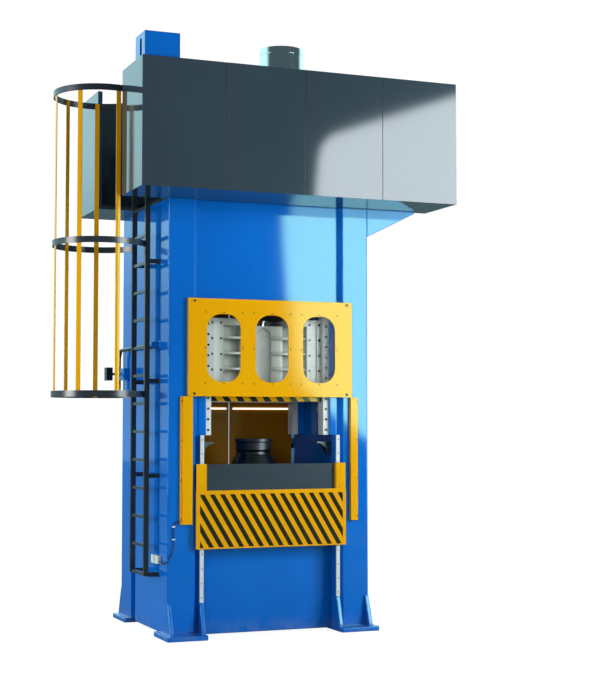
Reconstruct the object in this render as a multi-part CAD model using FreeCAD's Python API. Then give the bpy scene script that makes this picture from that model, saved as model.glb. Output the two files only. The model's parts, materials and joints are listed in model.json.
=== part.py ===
"""Hydraulic press with a lift guard, a crown enclosure and a caged ladder.

Millimetres, +Z up, front face towards -Y, X to the right. The origin lies on
the floor at the centre of the four anchor-bolt holes.
"""
import FreeCAD, Part
import math
import os

V = FreeCAD.Vector

# ---- driving sizes: frame -------------------------------------------------
frame_width = 1904.0          # over the two side frames
frame_depth = 1480.0          # front face of the columns to the rear face
frame_top = 3836.0            # top of the side frames, under the crown floor
column_width = 289.0          # one side frame, outer face to inner wall
column_chamfer = 45.0         # slope between column face and recessed front plates
column_depth = 1000.0         # front upright of a side frame, front to back
groove_width = 140.0          # recess between front upright and rear box
groove_depth = 100.0
wall = 25.0                   # plate of the side frames
diaphragm_count = 4
foot_plate = 40.0
foot_out = 40.0               # foot plate past the column's outer face
foot_in = 36.0                # foot plate past the column's inner wall
foot_front = 165.0            # foot plate past the column's front and rear faces
foot_length = 434.0
gusset_width = 32.0
gusset_height = 266.0
gusset_reach = 102.0
anchor_hole_r = 15.0
anchor_setback = 55.0         # bolt centre behind the foot plate's free edge
axis_setback = 495.0          # cylinder and slide axis behind the column face

# ---- driving sizes: bed, bolster and die -----------------------------------
bed_bottom = 520.0
bed_top = 1300.0
bed_plate = 40.0
bed_half_depth = 345.0
bed_bays = 3
stand_reach = 90.0
bolster_half_width = 600.0
bolster_half_depth = 350.0
bolster_thickness = 140.0
slot_mouth = 28.0
slot_mouth_depth = 35.0
slot_head = 46.0
slot_head_depth = 30.0
slot_offsets = (-420.0, -240.0, 240.0, 420.0)
die_rim_r = 176.0
die_body_r = 162.0
die_waist_r = 150.0
die_foot_r = 228.0
die_height = 280.0
die_offset_y = -60.0

# ---- driving sizes: slide, gibs and cylinder --------------------------------
slide_half_width = 537.0
slide_half_depth = 375.0
slide_bottom = 2058.0
slide_height = 742.0
slide_plate = 80.0
slide_rib_pitch = 140.0
slide_rib = 20.0
slide_post_width = 135.0
slide_stroke = 280.0
hub_half_width = 200.0
hub_radius = 40.0
pocket_half_width = 75.0
pocket_depth = 25.0
hub_setback = 60.0            # hub behind the slide's front face
slide_top_plate = 60.0
slide_post_t = 30.0
slide_web = 25.0
slide_web_depth = 200.0       # depth of the ribbed bays
strip_bolt_r = 11.0
strip_bolt_head = 8.0
strip_width = 43.0
strip_thickness = 12.0
gib_bottom = 1757.0
gib_width = 55.0
gib_depth = 120.0
gib_front_gap = 60.0          # gib front ahead of the slide's front face
bracket_lead = 25.0           # front bracket ahead of its gib
stop_reach = 170.0
stop_height = 110.0
stop_depth = 60.0
stop_scoop_r = 95.0
sliding_gap = 0.3             # between faces that slide past each other
running_gap = 0.05            # radial, rod in gland and piston in barrel
rod_r = 125.0
piston_r = 170.0
barrel_r = 230.0
barrel_fit = 0.5              # radial, barrel in the head beam
barrel_flange_r = 300.0
barrel_top = 4060.0
barrel_end = 60.0
gland_height = 60.0
rod_flange_r = 205.0
head_bottom = 3060.0
head_top = 3800.0
head_plate = 80.0

# ---- driving sizes: front guarding -------------------------------------------
guard_lap = 115.0             # guard plate past the columns' inner walls
guard_bottom = 2097.0
guard_height = 861.0
guard_standoff = 45.0
guard_sheet = 4.0
window_pitch = 455.0
window_width = 312.0
window_height = 598.0
window_radius = 132.0
door_lap = 44.0               # lift door past the columns' inner walls
door_bottom = 770.0
door_sheet_height = 506.0
door_height = 737.0
door_front = 64.0             # face of the lift door ahead of the column face
door_sheet_t = 3.0
door_return = 29.0
stile_width = 92.0
pane_t = 8.0
pane_setback = 50.0
door_clearance = 5.0          # door top to guard plate when the door is up
channel_setback = 109.0       # channel's outer edge inside the column's outer face
channel_left_width = 107.0
channel_right_width = 73.0
channel_depth = 38.0
channel_bottom = 985.0
channel_sheet = 3.0
channel_step = 16.0           # width of the lowered screw strip
channel_drop = 12.0
rail_width = 33.0
rail_t = 14.0
rail_top = gib_bottom
rail_holes = 12
rail_hole_margin = 40.0
runner_height = 60.0
runner_depth = 45.0
plate_t = 12.0                # recessed plates between the columns, upper
panel_t = 6.0                 # recessed panels, lower
panel_lift = 10.0
panel_hem = 16.0
rear_panel_setback = 134.0

# ---- driving sizes: crown --------------------------------------------------
crown_over_left = 410.0       # crown past the frame's left side
crown_over_right = 630.0
crown_ahead = 1065.0          # crown's front face ahead of the cylinder axis
crown_behind = 1108.0
crown_height = 1098.0
crown_floor = 30.0
crown_sheet = 3.0
crown_return = 40.0
panel_seam = 4.0
hoop_gap = 5.0                # cage hoop to the edge of the crown's side opening
post_size = 40.0
bracket_reach = 485.0
bracket_height = 259.0
bracket_t = 30.0
stack_r = 214.0
stack_top = 5490.0
stack_x = 467.0
stack_behind = 445.0          # stack centre behind the cylinder axis
riser_width = 310.0
riser_depth = 285.0
riser_top = 5164.0
riser_slot_r = 28.0
stack_wall = 3.0
stack_collar = 2.0            # collar past the stack's skin
tank_left = -900.0
tank_width = 650.0
tank_depth = 520.0
tank_height = 600.0
tank_foot = 60.0
tank_sheet = 6.0
tank_clear = 83.0             # tank to the crown's rear wall
neck_r = 35.0                 # bore of the filler neck
motor_x = -640.0              # rear end of the motor's body
motor_length = 480.0
motor_r = 150.0
motor_fins = 24
motor_ahead = 615.0           # motor and pump axis ahead of the cylinder axis
motor_height = 230.0
coupling_length = 120.0
shaft_r = 24.0
shaft_grip = 60.0             # depth of the shaft's seat in motor and pump
manifold_left = 420.0
manifold_width = 560.0
manifold_depth = 200.0
manifold_ahead = 655.0
manifold_leg = 200.0

# ---- driving sizes: ladder and cage ----------------------------------------
ladder_gap = 115.0            # ladder centre line to the side frame
ladder_setback = 485.0        # ladder centre behind the column face
ladder_half = 215.0
ladder_bottom = 537.0
rung_pitch = 250.0
rung_count = 18
rung_size = 26.0
stile_y = 30.0
stile_x = 44.0
hoop_r = 420.0
hoop_t = 8.0
hoop_tall = 55.0
hoop_low = 2118.0
hoop_pitch = 1333.0
hoop_count = 3
strap_width = 42.0
strap_t = 6.0
strap_angles = (-100.0, -58.0, 4.0, 50.0, 98.0)
ladder_bracket_levels = (ladder_bottom, 1400.0, 2235.0, 3300.0)

# ---- driving sizes: air line and sensor cable -------------------------------
pipe_r = 17.0
pipe_standoff = 48.0
pipe_z = 2557.0
pipe_low = 2180.0
valve_z = 2332.0
filter_height = 124.0
cable_r = 5.0
clip_levels = (967.0, 858.0)
cable_route = [(109.0, -12.0, 1010.0), (80.0, -12.0, 1010.0), (54.0, -12.0, 985.0),
               (53.0, -12.0, 880.0), (54.0, -12.0, 790.0), (37.0, -18.0, 725.0),
               (-3.0, -22.0, 675.0), (-20.0, 20.0, 648.0), (-21.0, 78.0, 642.0),
               (-19.0, 130.0, 656.0), (-19.0, 175.0, 656.0)]   # from the column's front left corner

# ---- driving sizes: rear guard doors ---------------------------------------
rear_door_setback = 105.0     # rear doors behind the front uprights
rear_door_t = 20.0
rear_door_bottom = 1450.0
rear_door_height = 1480.0
rear_door_gap = 5.0
rear_sheet = 3.0
hinge_r = 10.0
pin_r = 6.0
hinge_half = 50.0

# ---- derived places ---------------------------------------------------------
outer_x = frame_width / 2
inner_x = outer_x - column_width
front_y = -frame_depth / 2
rear_y = frame_depth / 2
axis_y = front_y + axis_setback
groove_y = front_y + column_depth
bolster_top = bed_top + bolster_thickness
die_y = axis_y + die_offset_y
slide_top = slide_bottom + slide_height
slide_front = axis_y - slide_half_depth
slide_rear = axis_y + slide_half_depth
gib_top = slide_top + 90.0
upper_plate_bottom = gib_top + 8.0
plate_front = front_y + column_chamfer
floor_top = frame_top + crown_floor
crown_top = frame_top + crown_height
door_face = front_y - door_front
guard_half_width = inner_x + guard_lap
door_half_width = inner_x + door_lap
channel_outer = outer_x - channel_setback
ladder_x = -outer_x - ladder_gap
ladder_y = front_y + ladder_setback
crown_left = -outer_x - crown_over_left
crown_right = outer_x + crown_over_right
crown_front = axis_y - crown_ahead
crown_rear = axis_y + crown_behind
opening_front = ladder_y - hoop_r - hoop_gap
opening_rear = ladder_y + hoop_r + hoop_gap
stack_y = axis_y + stack_behind
rear_door_y = groove_y + rear_door_setback
door_travel = guard_bottom - door_clearance - door_bottom - door_height
guard_face = front_y - guard_standoff
hatch_inner = ladder_x + 115.0
hoop_centre_x = ladder_x - stile_x / 2 - math.sqrt((hoop_r - hoop_t / 2) ** 2 - ladder_half ** 2)
anchor_x = (inner_x + outer_x) / 2
anchor_y = front_y - foot_front + anchor_setback
rail_bottom = foot_plate + gusset_height
runner_wrap = rail_t - 2.0    # how far a runner reaches round the rail
rail_seat = door_front - door_sheet_t - runner_depth - rail_t + runner_wrap
rail_front = front_y - rail_seat - rail_t
rear_door_top = rear_door_bottom + rear_door_height
hinge_x = inner_x - hinge_r - 2.0
pipe_x = -outer_x - pipe_standoff
pipe_front = front_y + 310.0
pipe_rear = rear_y - 40.0
motor_y = axis_y - motor_ahead
motor_z = floor_top + motor_height
pump_x = motor_x + motor_length + coupling_length


# ---- helpers ---------------------------------------------------------------
def box(x0, x1, y0, y1, z0, z1):
    """Block between two corners, given in either order."""
    lo = V(min(x0, x1), min(y0, y1), min(z0, z1))
    return Part.makeBox(abs(x1 - x0), abs(y1 - y0), abs(z1 - z0), lo)


def rod(x, y, z, r, h, along=V(0, 0, 1)):
    """Round bar from a point, along a direction."""
    return Part.makeCylinder(r, h, V(x, y, z), along)


def ring(x, y, z, r_in, r_out, h, along=V(0, 0, 1)):
    return rod(x, y, z, r_out, h, along).cut(rod(x, y, z, r_in, h, along))


def prism(points, push):
    """Flat outline pushed along a vector."""
    wire = Part.makePolygon([V(*p) for p in points] + [V(*points[0])])
    return Part.Face(wire).extrude(V(*push))


def join(shapes):
    first, rest = shapes[0], list(shapes[1:])
    return first.fuse(rest).removeSplitter() if rest else first


def mirror_x(shape):
    return shape.mirror(V(0, 0, 0), V(1, 0, 0))


def mirror_y(shape, at=0.0):
    return shape.mirror(V(0, at, 0), V(0, 1, 0))


def round_edges(shape, radius, keep):
    """Fillet the edges that keep() picks."""
    edges = [e for e in shape.Edges if keep(e)]
    return shape.makeFillet(radius, edges)


def is_upright(edge):
    a, b = edge.Vertexes[0].Point, edge.Vertexes[-1].Point
    return abs(a.x - b.x) < 1e-6 and abs(a.y - b.y) < 1e-6 and abs(a.z - b.z) > 1e-6


def export(name, shape):
    """Write one node; a list becomes a group of separate solids."""
    if isinstance(shape, (list, tuple)):
        shape = Part.makeCompound([s for item in shape for s in item.Solids])
    shape.exportStep("parts/" + name + ".step")
    print(name, len(shape.Solids), shape.isValid())


# ---- frame -------------------------------------------------------------------
def side_outline(inset):
    """Plan of the right side frame, all faces moved in by inset."""
    xo, xi = outer_x - inset, inner_x + inset
    xg = outer_x - groove_depth - inset
    slope = column_chamfer + inset * (math.sqrt(2.0) - 1.0)
    y0, y3 = front_y + inset, rear_y - inset
    y1, y2 = groove_y - inset, groove_y + groove_width + inset
    return [(xo, y0), (xo, y1), (xg, y1), (xg, y2), (xo, y2), (xo, y3),
            (xi, y3), (xi, y0 + slope), (xi + slope, y0)]


def plan_prism(inset, z0, z1):
    """The side frame's plan, moved in by inset, between two levels."""
    return prism([(x, y, z0) for x, y in side_outline(inset)], (0, 0, z1 - z0))


def side_frame():
    """Closed, welded box side frame with diaphragms and the bar behind the lift rail."""
    height = frame_top - foot_plate
    body = plan_prism(0.0, foot_plate, frame_top).cut(plan_prism(wall, foot_plate + wall, frame_top - wall))
    plates = []
    for k in range(1, diaphragm_count + 1):
        z = foot_plate + k * height / (diaphragm_count + 1)
        hole = rod(anchor_x, axis_y, z, column_width / 4, wall)
        plates.append(plan_prism(wall / 2, z, z + wall).cut(hole))
    bar = box(inner_x - rail_width, inner_x, front_y - rail_seat, plate_front + 50.0, rail_bottom, rail_top)
    return join([body, bar] + plates)


def gusset(x, heel_y, shoulder_y):
    """Upright stiffener on a foot plate; heel_y and shoulder_y close it at the column."""
    low, toe = foot_plate, front_y - gusset_reach
    outline = [(heel_y, low), (toe, low), (toe, low + 20.0), (shoulder_y, low + gusset_height),
               (heel_y, low + gusset_height)]
    return prism([(x, y, z) for y, z in outline], (gusset_width, 0, 0))


def foot(side_x, side_y):
    """Foot plate with two gussets and one anchor-bolt hole."""
    x0, x1 = inner_x - foot_in, outer_x + foot_out
    y0 = front_y - foot_front
    plate = round_edges(box(x0, x1, y0, y0 + foot_length, 0, foot_plate), 12.0, is_upright)
    plate = plate.cut(rod(anchor_x, anchor_y, 0, anchor_hole_r, foot_plate))
    rail_side = gusset(inner_x - gusset_width, plate_front + 50.0, rail_front)
    outer_side = gusset(outer_x - gusset_width, front_y, front_y - 12.0)
    shape = join([plate, rail_side, outer_side])
    if side_y > 0:
        shape = mirror_y(shape)
    return shape if side_x > 0 else mirror_x(shape)


def bed():
    """Lower crosshead: top, front and rear plates with ribs, open underneath."""
    y0, y1 = axis_y - bed_half_depth, axis_y + bed_half_depth
    block = box(-inner_x, inner_x, y0, y1, bed_bottom, bed_top)
    pitch = (2 * inner_x - bed_plate) / bed_bays
    bays = []
    for k in range(bed_bays):
        x = -inner_x + bed_plate + k * pitch
        bays.append(box(x, x + pitch - bed_plate, y0 + bed_plate, y1 - bed_plate,
                        bed_bottom, bed_top - 2 * bed_plate))
    return block.cut(bays)


def bed_stands():
    """Four upright plates that carry the bed beside the side frames."""
    stands = []
    reach = bed_half_depth - bed_plate
    for sx in (-1, 1):
        for y in (axis_y - reach, axis_y + reach):
            stands.append(box(sx * inner_x, sx * (inner_x - stand_reach),
                              y - bed_plate / 2, y + bed_plate / 2, foot_plate, bed_bottom))
    return stands


def bolster():
    """Bolster plate with T-slots that run from front to back."""
    y0, y1 = axis_y - bolster_half_depth, axis_y + bolster_half_depth
    plate = box(-bolster_half_width, bolster_half_width, y0, y1, bed_top, bolster_top)
    cuts = []
    for x in slot_offsets:
        mouth = bolster_top - slot_mouth_depth
        cuts.append(box(x - slot_mouth / 2, x + slot_mouth / 2, y0, y1, mouth, bolster_top))
        cuts.append(box(x - slot_head / 2, x + slot_head / 2, y0, y1, mouth - slot_head_depth, mouth))
    return plate.cut(cuts)


def lower_die():
    """Turned lower die: flared foot, waist, drum and rim, with a shallow cavity."""
    h = die_height
    outline = [(0, 0), (die_foot_r, 0), (die_foot_r, 24.0), (die_foot_r - 16.0, 40.0),
               (die_waist_r + 6.0, h - 140.0), (die_waist_r, h - 118.0), (die_body_r, h - 100.0),
               (die_body_r, h - 34.0), (die_rim_r, h - 26.0), (die_rim_r, h),
               (die_rim_r - 30.0, h), (die_rim_r - 44.0, h - 18.0), (70.0, h - 18.0), (56.0, h - 60.0),
               (0, h - 60.0)]
    wire = Part.makePolygon([V(r, 0, z) for r, z in outline + outline[:1]])
    turned = Part.Face(wire).revolve(V(0, 0, 0), V(0, 0, 1), 360)
    turned.translate(V(0, die_y, bolster_top))
    return turned


def head_beam():
    """Upper crosshead: box beam with a bore that holds the main cylinder."""
    y0, y1 = plate_front + 15.0, groove_y - 10.0
    block = box(-inner_x, inner_x, y0, y1, head_bottom, head_top)
    z0, z1 = head_bottom + head_plate, head_top - head_plate
    side = head_plate / 2
    hollow = box(-inner_x + side, inner_x - side, y0 + side, y1 - side, z0, z1)
    sleeve = rod(0, axis_y, z0, barrel_r + side, z1 - z0)
    bore = rod(0, axis_y, head_bottom, barrel_r + barrel_fit, head_top - head_bottom)
    return block.cut(hollow.cut(sleeve)).cut(bore)


def front_plates():
    """Recessed sheets between the columns, upper and lower, front and rear."""
    x = inner_x
    ledge = bed_top - 5.0
    lower_y = axis_y - bed_half_depth - panel_hem
    upper = box(-x, x, plate_front, plate_front + plate_t, upper_plate_bottom, frame_top)
    lower = box(-x, x, lower_y, lower_y + panel_t, panel_lift, ledge)
    hem = box(-x, x, lower_y, lower_y + panel_hem, ledge - panel_t, ledge)
    rear_upper = box(-x, x, rear_y - 20.0, rear_y - 20.0 + plate_t, rear_door_top + 20.0, frame_top)
    rear_lower_y = rear_y - rear_panel_setback
    rear_lower = box(-x, x, rear_lower_y - panel_t, rear_lower_y, panel_lift, rear_door_bottom - 20.0)
    over = x - foot_in - 1.0
    corners = [box(sx * over, sx * x, front_y, rear_y, 0, foot_plate) for sx in (-1, 1)]
    return upper, join([lower, hem]).cut(corners), rear_upper, rear_lower.cut(corners)


# ---- slide, gibs and cylinder -------------------------------------------------
def slide_body():
    """Welded slide: plates, corner posts, ribbed bays and a central hub."""
    w, d = slide_half_width, slide_half_depth
    web_y = d - slide_web_depth
    zb, zt = slide_bottom + slide_plate, slide_top - slide_top_plate
    cut_r = rod_flange_r + 20.0
    top = box(-w, w, -d, d, zt, slide_top)
    parts = [box(-w, w, -d, d, slide_bottom, zb),
             top.cut([box(-cut_r, cut_r, -d, 0, zt, slide_top), rod(0, 0, zt, cut_r, slide_plate)])]
    inner = w - slide_post_width
    for sx in (-1, 1):
        parts.append(box(sx * w, sx * (w - 40.0), -d, d, zb, zt))
        for sy in (-1, 1):
            parts.append(box(sx * w, sx * inner, sy * d, sy * (d - slide_post_t), zb, zt))
            parts.append(box(sx * (inner + slide_web), sx * inner, sy * d, sy * web_y, zb, zt))
            parts.append(box(sx * w, 0, sy * web_y, sy * (web_y - slide_web), zb, zt))
    rib_x = inner + 10.0
    for k in range(int((zt - zb) // slide_rib_pitch)):
        z = zt - (k + 1) * slide_rib_pitch + slide_rib
        for sy in (-1, 1):
            parts.append(box(-rib_x, rib_x, sy * (d - 20.0), sy * (web_y - 10.0), z, z + slide_rib))
    hub = box(-hub_half_width, hub_half_width, -d + hub_setback, d - hub_setback, zb, zt)
    parts.append(round_edges(hub, hub_radius, is_upright))
    arch_z = zt - 20.0 - pocket_half_width
    reach = hub_setback + pocket_depth
    pocket = box(-pocket_half_width, pocket_half_width, -d, -d + reach, zb + 40.0, arch_z)
    arch = rod(0, -d, arch_z, pocket_half_width, reach, V(0, 1, 0))
    body = join(parts).cut([pocket, arch])
    body.translate(V(0, axis_y, 0))
    return body


def bolt_row(x, y, z0, z1, pitch, r, h, along):
    """Bolt heads in an upright row."""
    count = max(1, int((z1 - z0) // pitch) + 1)
    return [rod(x, y, z0 + k * pitch, r, h, along) for k in range(count)]


def slide_strips():
    """Bronze-faced guide strips on the slide's front and rear corners."""
    strips = []
    zb = slide_bottom + slide_plate
    for sx in (-1, 1):
        x0, x1 = sx * slide_half_width, sx * (slide_half_width - strip_width)
        strips.append(box(x0, x1, slide_front - strip_thickness, slide_front, zb, slide_top))
        strips.append(box(x0, x1, slide_rear, slide_rear + strip_thickness, zb, slide_top))
    return strips


def slide_bolts():
    """Bolt heads on the guide strips and on the corner posts."""
    bolts = []
    z0 = slide_bottom + slide_plate + 60.0
    z1 = slide_top - 40.0
    r, h = strip_bolt_r, strip_bolt_head
    for sx in (-1, 1):
        x = sx * (slide_half_width - strip_width / 2)
        post_x = sx * (slide_half_width - slide_post_width + slide_web)
        bolts += bolt_row(x, slide_front - strip_thickness, z0, z1, slide_rib_pitch, r, h, V(0, -1, 0))
        bolts += bolt_row(x, slide_rear + strip_thickness, z0, z1, slide_rib_pitch, r, h, V(0, 1, 0))
        bolts += bolt_row(post_x, slide_front, z0, z1, slide_rib_pitch, r - 2.0, h - 1.0, V(0, -1, 0))
    return bolts


def hazard_bar():
    """Striped bar along the slide's lower front edge."""
    w, y, z = slide_half_width, slide_front, slide_bottom
    return box(-w, w, y - strip_thickness, y, z, z + slide_plate)


def gib_places():
    """Centre-line side, front Y and rear Y of each of the four gibs."""
    front0 = slide_front - gib_front_gap
    rear1 = slide_rear + gib_front_gap
    for sx in (-1, 1):
        yield sx, front0, front0 + gib_depth
        yield sx, rear1 - gib_depth, rear1


def gibs():
    """Fixed guide bars beside the slide's corners."""
    x0 = slide_half_width + sliding_gap
    return [box(sx * x0, sx * (x0 + gib_width), y0, y1, gib_bottom, gib_top) for sx, y0, y1 in gib_places()]


def gib_brackets():
    """Blue blocks that hold the gibs on the side frames' inner walls."""
    x0 = slide_half_width + sliding_gap + gib_width
    blocks = []
    for sx, y0, y1 in gib_places():
        if y0 < axis_y:
            y0 = y0 - bracket_lead
        blocks.append(box(sx * x0, sx * inner_x, y0, y1, gib_bottom, gib_top))
    return blocks


def gib_bolts():
    """Black socket heads along the front gibs."""
    x = slide_half_width + sliding_gap + gib_width / 2
    y = slide_front - gib_front_gap
    bolts = []
    for sx in (-1, 1):
        bolts += bolt_row(sx * x, y, gib_bottom + 46.0, gib_top, 94.0, 10.0, 6.0, V(0, -1, 0))
    return bolts


def stop_brackets():
    """Curved brackets on the inner walls, under the slide's front corners."""
    z1 = gib_bottom - 60.0
    z0 = z1 - stop_height
    y0 = slide_front - 20.0
    y1 = y0 + stop_depth
    shapes = []
    for sx in (-1, 1):
        x = sx * (inner_x - stop_reach)
        block = box(sx * inner_x, x, y0, y1, z0, z1)
        scoop = rod(x, y0, z0, stop_scoop_r, stop_depth, V(0, 1, 0))
        step = box(x, x + sx * 40.0, y0, y1, z0, z0 + 15.0)
        shapes.append(block.cut(scoop.fuse(step)))
    return shapes


def main_cylinder():
    """Barrel with a mounting flange and a closed upper end."""
    body = rod(0, axis_y, head_bottom, barrel_r, barrel_top - head_bottom)
    flange = rod(0, axis_y, head_top, barrel_flange_r, frame_top - head_top - 2.0)
    bore = rod(0, axis_y, head_bottom, piston_r + running_gap, barrel_top - barrel_end - head_bottom)
    return join([body, flange]).cut(bore)


def cylinder_gland():
    return ring(0, axis_y, head_bottom - gland_height, rod_r + running_gap, barrel_r, gland_height)


def piston_rod():
    """Ram rod with its foot flange and the piston at its upper end."""
    foot_z = slide_top - slide_top_plate
    piston_z = barrel_top - barrel_end - 220.0
    flange = rod(0, axis_y, foot_z, rod_flange_r, slide_top_plate)
    stem = rod(0, axis_y, foot_z, rod_r, piston_z - foot_z)
    piston = rod(0, axis_y, piston_z, piston_r, 100.0)
    return join([flange, stem, piston])


# ---- front guarding -------------------------------------------------------------
def window_centres():
    z = guard_bottom + guard_height / 2 - 4.0
    return [(k * window_pitch, z) for k in (-1, 0, 1)]


def rounded_slab(x, z, width, height, radius, y0, y1):
    """Slab standing in XZ with round corners, between two Y planes."""
    slab = box(x - width / 2, x + width / 2, y0, y1, z - height / 2, z + height / 2)

    def across(edge):
        a, b = edge.Vertexes[0].Point, edge.Vertexes[-1].Point
        return abs(a.x - b.x) < 1e-6 and abs(a.z - b.z) < 1e-6
    return round_edges(slab, min(radius, width * 0.49), across)


def small_screw_places():
    """Eight screws round each window."""
    places = []
    for x, z in window_centres():
        dx, dz = window_width / 2 + 18.0, window_height / 2 + 14.0
        places += [(x + i * dx, z + j * dz) for i in (-1, 0, 1) for j in (-1, 1)]
        places += [(x - dx, z), (x + dx, z)]
    return places


def corner_screw_places():
    x = guard_half_width - 52.0
    return [(i * x, guard_bottom + j) for i in (-1, 1) for j in (24.0, guard_height - 24.0)]


def window_guard():
    """Folded guard plate with three windows and side, top and bottom returns."""
    w, z0, z1 = guard_half_width, guard_bottom, guard_bottom + guard_height
    y0, t = guard_face, guard_sheet
    shell = box(-w, w, y0, front_y, z0, z1)
    inside = box(-w + t, w - t, y0 + t, front_y, z0 + t, z1 - t)
    lip_cut = box(-inner_x - column_chamfer, inner_x + column_chamfer, y0 + 25.0, front_y, z0, z1)
    shell = shell.cut([inside, lip_cut])
    holes = []
    for x, z in window_centres():
        holes.append(rounded_slab(x, z, window_width, window_height, window_radius, y0, y0 + t))
    for x, z in small_screw_places():
        holes.append(rod(x, y0, z, 3.3, t, V(0, 1, 0)))
    for x, z in corner_screw_places():
        holes.append(rod(x, y0, z, 6.3, t, V(0, 1, 0)))
    return shell.cut(holes)


def window_panes():
    """Clear panes behind the three windows."""
    y0 = guard_face + guard_sheet
    panes = []
    for x, z in window_centres():
        pane = rounded_slab(x, z, window_width + 64.0, window_height + 56.0, window_radius, y0, y0 + 4.0)
        holes = [rod(sx, y0, sz, 3.3, 4.0, V(0, 1, 0)) for sx, sz in small_screw_places()]
        panes.append(pane.cut(holes))
    return panes


def guard_screws():
    """Button-head screws of the guard plate, each with its shank."""
    screws = []
    for x, z in small_screw_places():
        head = rod(x, guard_face, z, 6.0, 3.0, V(0, -1, 0))
        screws.append(join([head, rod(x, guard_face, z, 3.0, 12.0, V(0, 1, 0))]))
    for x, z in corner_screw_places():
        head = rod(x, guard_face, z, 11.0, 6.0, V(0, -1, 0))
        screws.append(join([head, rod(x, guard_face, z, 6.0, guard_standoff, V(0, 1, 0))]))
    return screws


def side_channel(side, width):
    """Folded cover along the column face beside the lift door, stepped down for its screws."""
    t, step, drop = channel_sheet, channel_step, channel_drop
    x1 = side * channel_outer
    x0 = side * (channel_outer - width)
    fold = x1 - side * step
    z0, z1 = channel_bottom, guard_bottom - 2.0
    y0 = front_y - channel_depth
    outer = box(x0, x1, y0, front_y, z0, z1)
    inside = box(x0 + side * t, x1 - side * t, y0 + t, front_y, z0 + t, z1 - t)
    shell = outer.cut([inside, box(x1, fold, y0, y0 + drop, z0, z1)])
    skin = box(x1 - side * t, fold - side * t, y0 + drop, y0 + drop + t, z0, z1)
    web = box(fold, fold - side * t, y0, y0 + drop + t, z0, z1)
    return join([shell, skin, web])


def channel_screws():
    """Black screws down the outer step of both side channels."""
    screws = []
    z0 = channel_bottom + 40.0
    pitch = (guard_bottom - channel_bottom - 80.0) / 3
    for side in (-1, 1):
        x = side * (channel_outer - channel_step / 2)
        y = front_y - channel_depth + channel_drop
        screws += [rod(x, y, z0 + k * pitch, 6.0, 4.0, V(0, -1, 0)) for k in range(4)]
    return screws


def lift_rail(side):
    """Drilled rail that the lift door runs on."""
    x0, x1 = side * (inner_x - rail_width), side * inner_x
    rail = box(x0, x1, rail_front, rail_front + rail_t, rail_bottom, rail_top)
    pitch = (rail_top - rail_bottom - 2 * rail_hole_margin) / (rail_holes - 1)
    levels = [rail_bottom + rail_hole_margin + k * pitch for k in range(rail_holes)]
    return rail.cut([rod((x0 + x1) / 2, rail_front, z, 7.0, 8.0, V(0, 1, 0)) for z in levels])


def door_sheet():
    """Folded guard sheet of the lift door, which carries the hazard stripes."""
    w, z0, z1 = door_half_width, door_bottom, door_bottom + door_sheet_height
    y0, t = door_face, door_sheet_t
    shell = box(-w, w, y0, y0 + door_return, z0, z1)
    inside = box(-w + t, w - t, y0 + t, y0 + door_return, z0 + t, z1 - t)
    gap = stile_width + 1.0
    clear = [box(sx * (w - t), sx * (w - gap), y0 + t, y0 + door_return, z1 - t, z1) for sx in (-1, 1)]
    return join([shell.cut([inside] + clear), pane_rail()])


def door_stile(side):
    """Folded upright of the lift door; its inner leg holds the pane."""
    t = door_sheet_t
    xo, xi = side * (door_half_width - t), side * (door_half_width - stile_width)
    y0 = door_face + t
    z0, z1 = door_bottom + t, door_bottom + door_height
    web = box(xo, xi, y0, y0 + t, z0, z1)
    outer_leg = box(xo, xo - side * t, y0, y0 + door_return - t, z0, z1)
    inner_leg = box(xi, xi + side * t, y0, y0 + pane_setback, z0, z1)
    cap = box(xo, xi, y0, y0 + door_return - t, z1 - t, z1)
    return join([web, outer_leg, inner_leg, cap, stile_latch(side)])


def door_pane():
    """Dark pane between the stiles, above the striped sheet."""
    x = door_half_width - stile_width
    y1 = door_face + door_sheet_t + pane_setback
    z1 = door_bottom + door_height - 4.0
    return box(-x, x, y1 - pane_t, y1, door_bottom + door_sheet_height - 40.0, z1)


def pane_rail():
    """Angle that ties the pane's lower edge to the striped sheet."""
    x = door_half_width - stile_width
    y0, y1 = door_face + door_sheet_t, door_face + door_sheet_t + pane_setback - pane_t
    z = door_bottom + door_sheet_height - door_sheet_t
    ledge = box(-x, x, y0, y1, z - 4.0, z)
    leg = box(-x, x, y1 - 4.0, y1, z - 37.0, z)
    return join([ledge, leg])


def door_runners():
    """Runner blocks behind the stiles, which wrap the lift rails."""
    blocks = []
    g = sliding_gap
    y0 = door_face + 2 * door_sheet_t
    y1 = rail_front + runner_wrap
    for side in (-1, 1):
        x0, x1 = side * (inner_x - rail_width - 10.0), side * (inner_x + 10.0)
        slot0, slot1 = side * (inner_x - rail_width - g), side * (inner_x + g)
        for z in (door_bottom + 30.0, rail_top - door_travel - runner_height - 10.0):
            block = box(x0, x1, y0, y1, z, z + runner_height)
            blocks.append(block.cut(box(slot0, slot1, rail_front - g, y1, z, z + runner_height)))
    return blocks


def stile_latch(side):
    """Small latch plate low on a stile's ear, with four heads."""
    z = door_bottom + door_sheet_height + 12.0
    x = side * (door_half_width - stile_width / 2)
    y = door_face - 2.0
    plate = box(x - 17.0, x + 17.0, y, door_face + door_sheet_t, z, z + 34.0)
    corners = [(i, j) for i in (-11.0, 11.0) for j in (7.0, 27.0)]
    return join([plate] + [rod(x + i, y, z + j, 3.5, 2.0, V(0, -1, 0)) for i, j in corners])


# ---- rear guard doors --------------------------------------------------------------
def hinge_levels():
    return (rear_door_bottom + 220.0, rear_door_top - 220.0)


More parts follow.
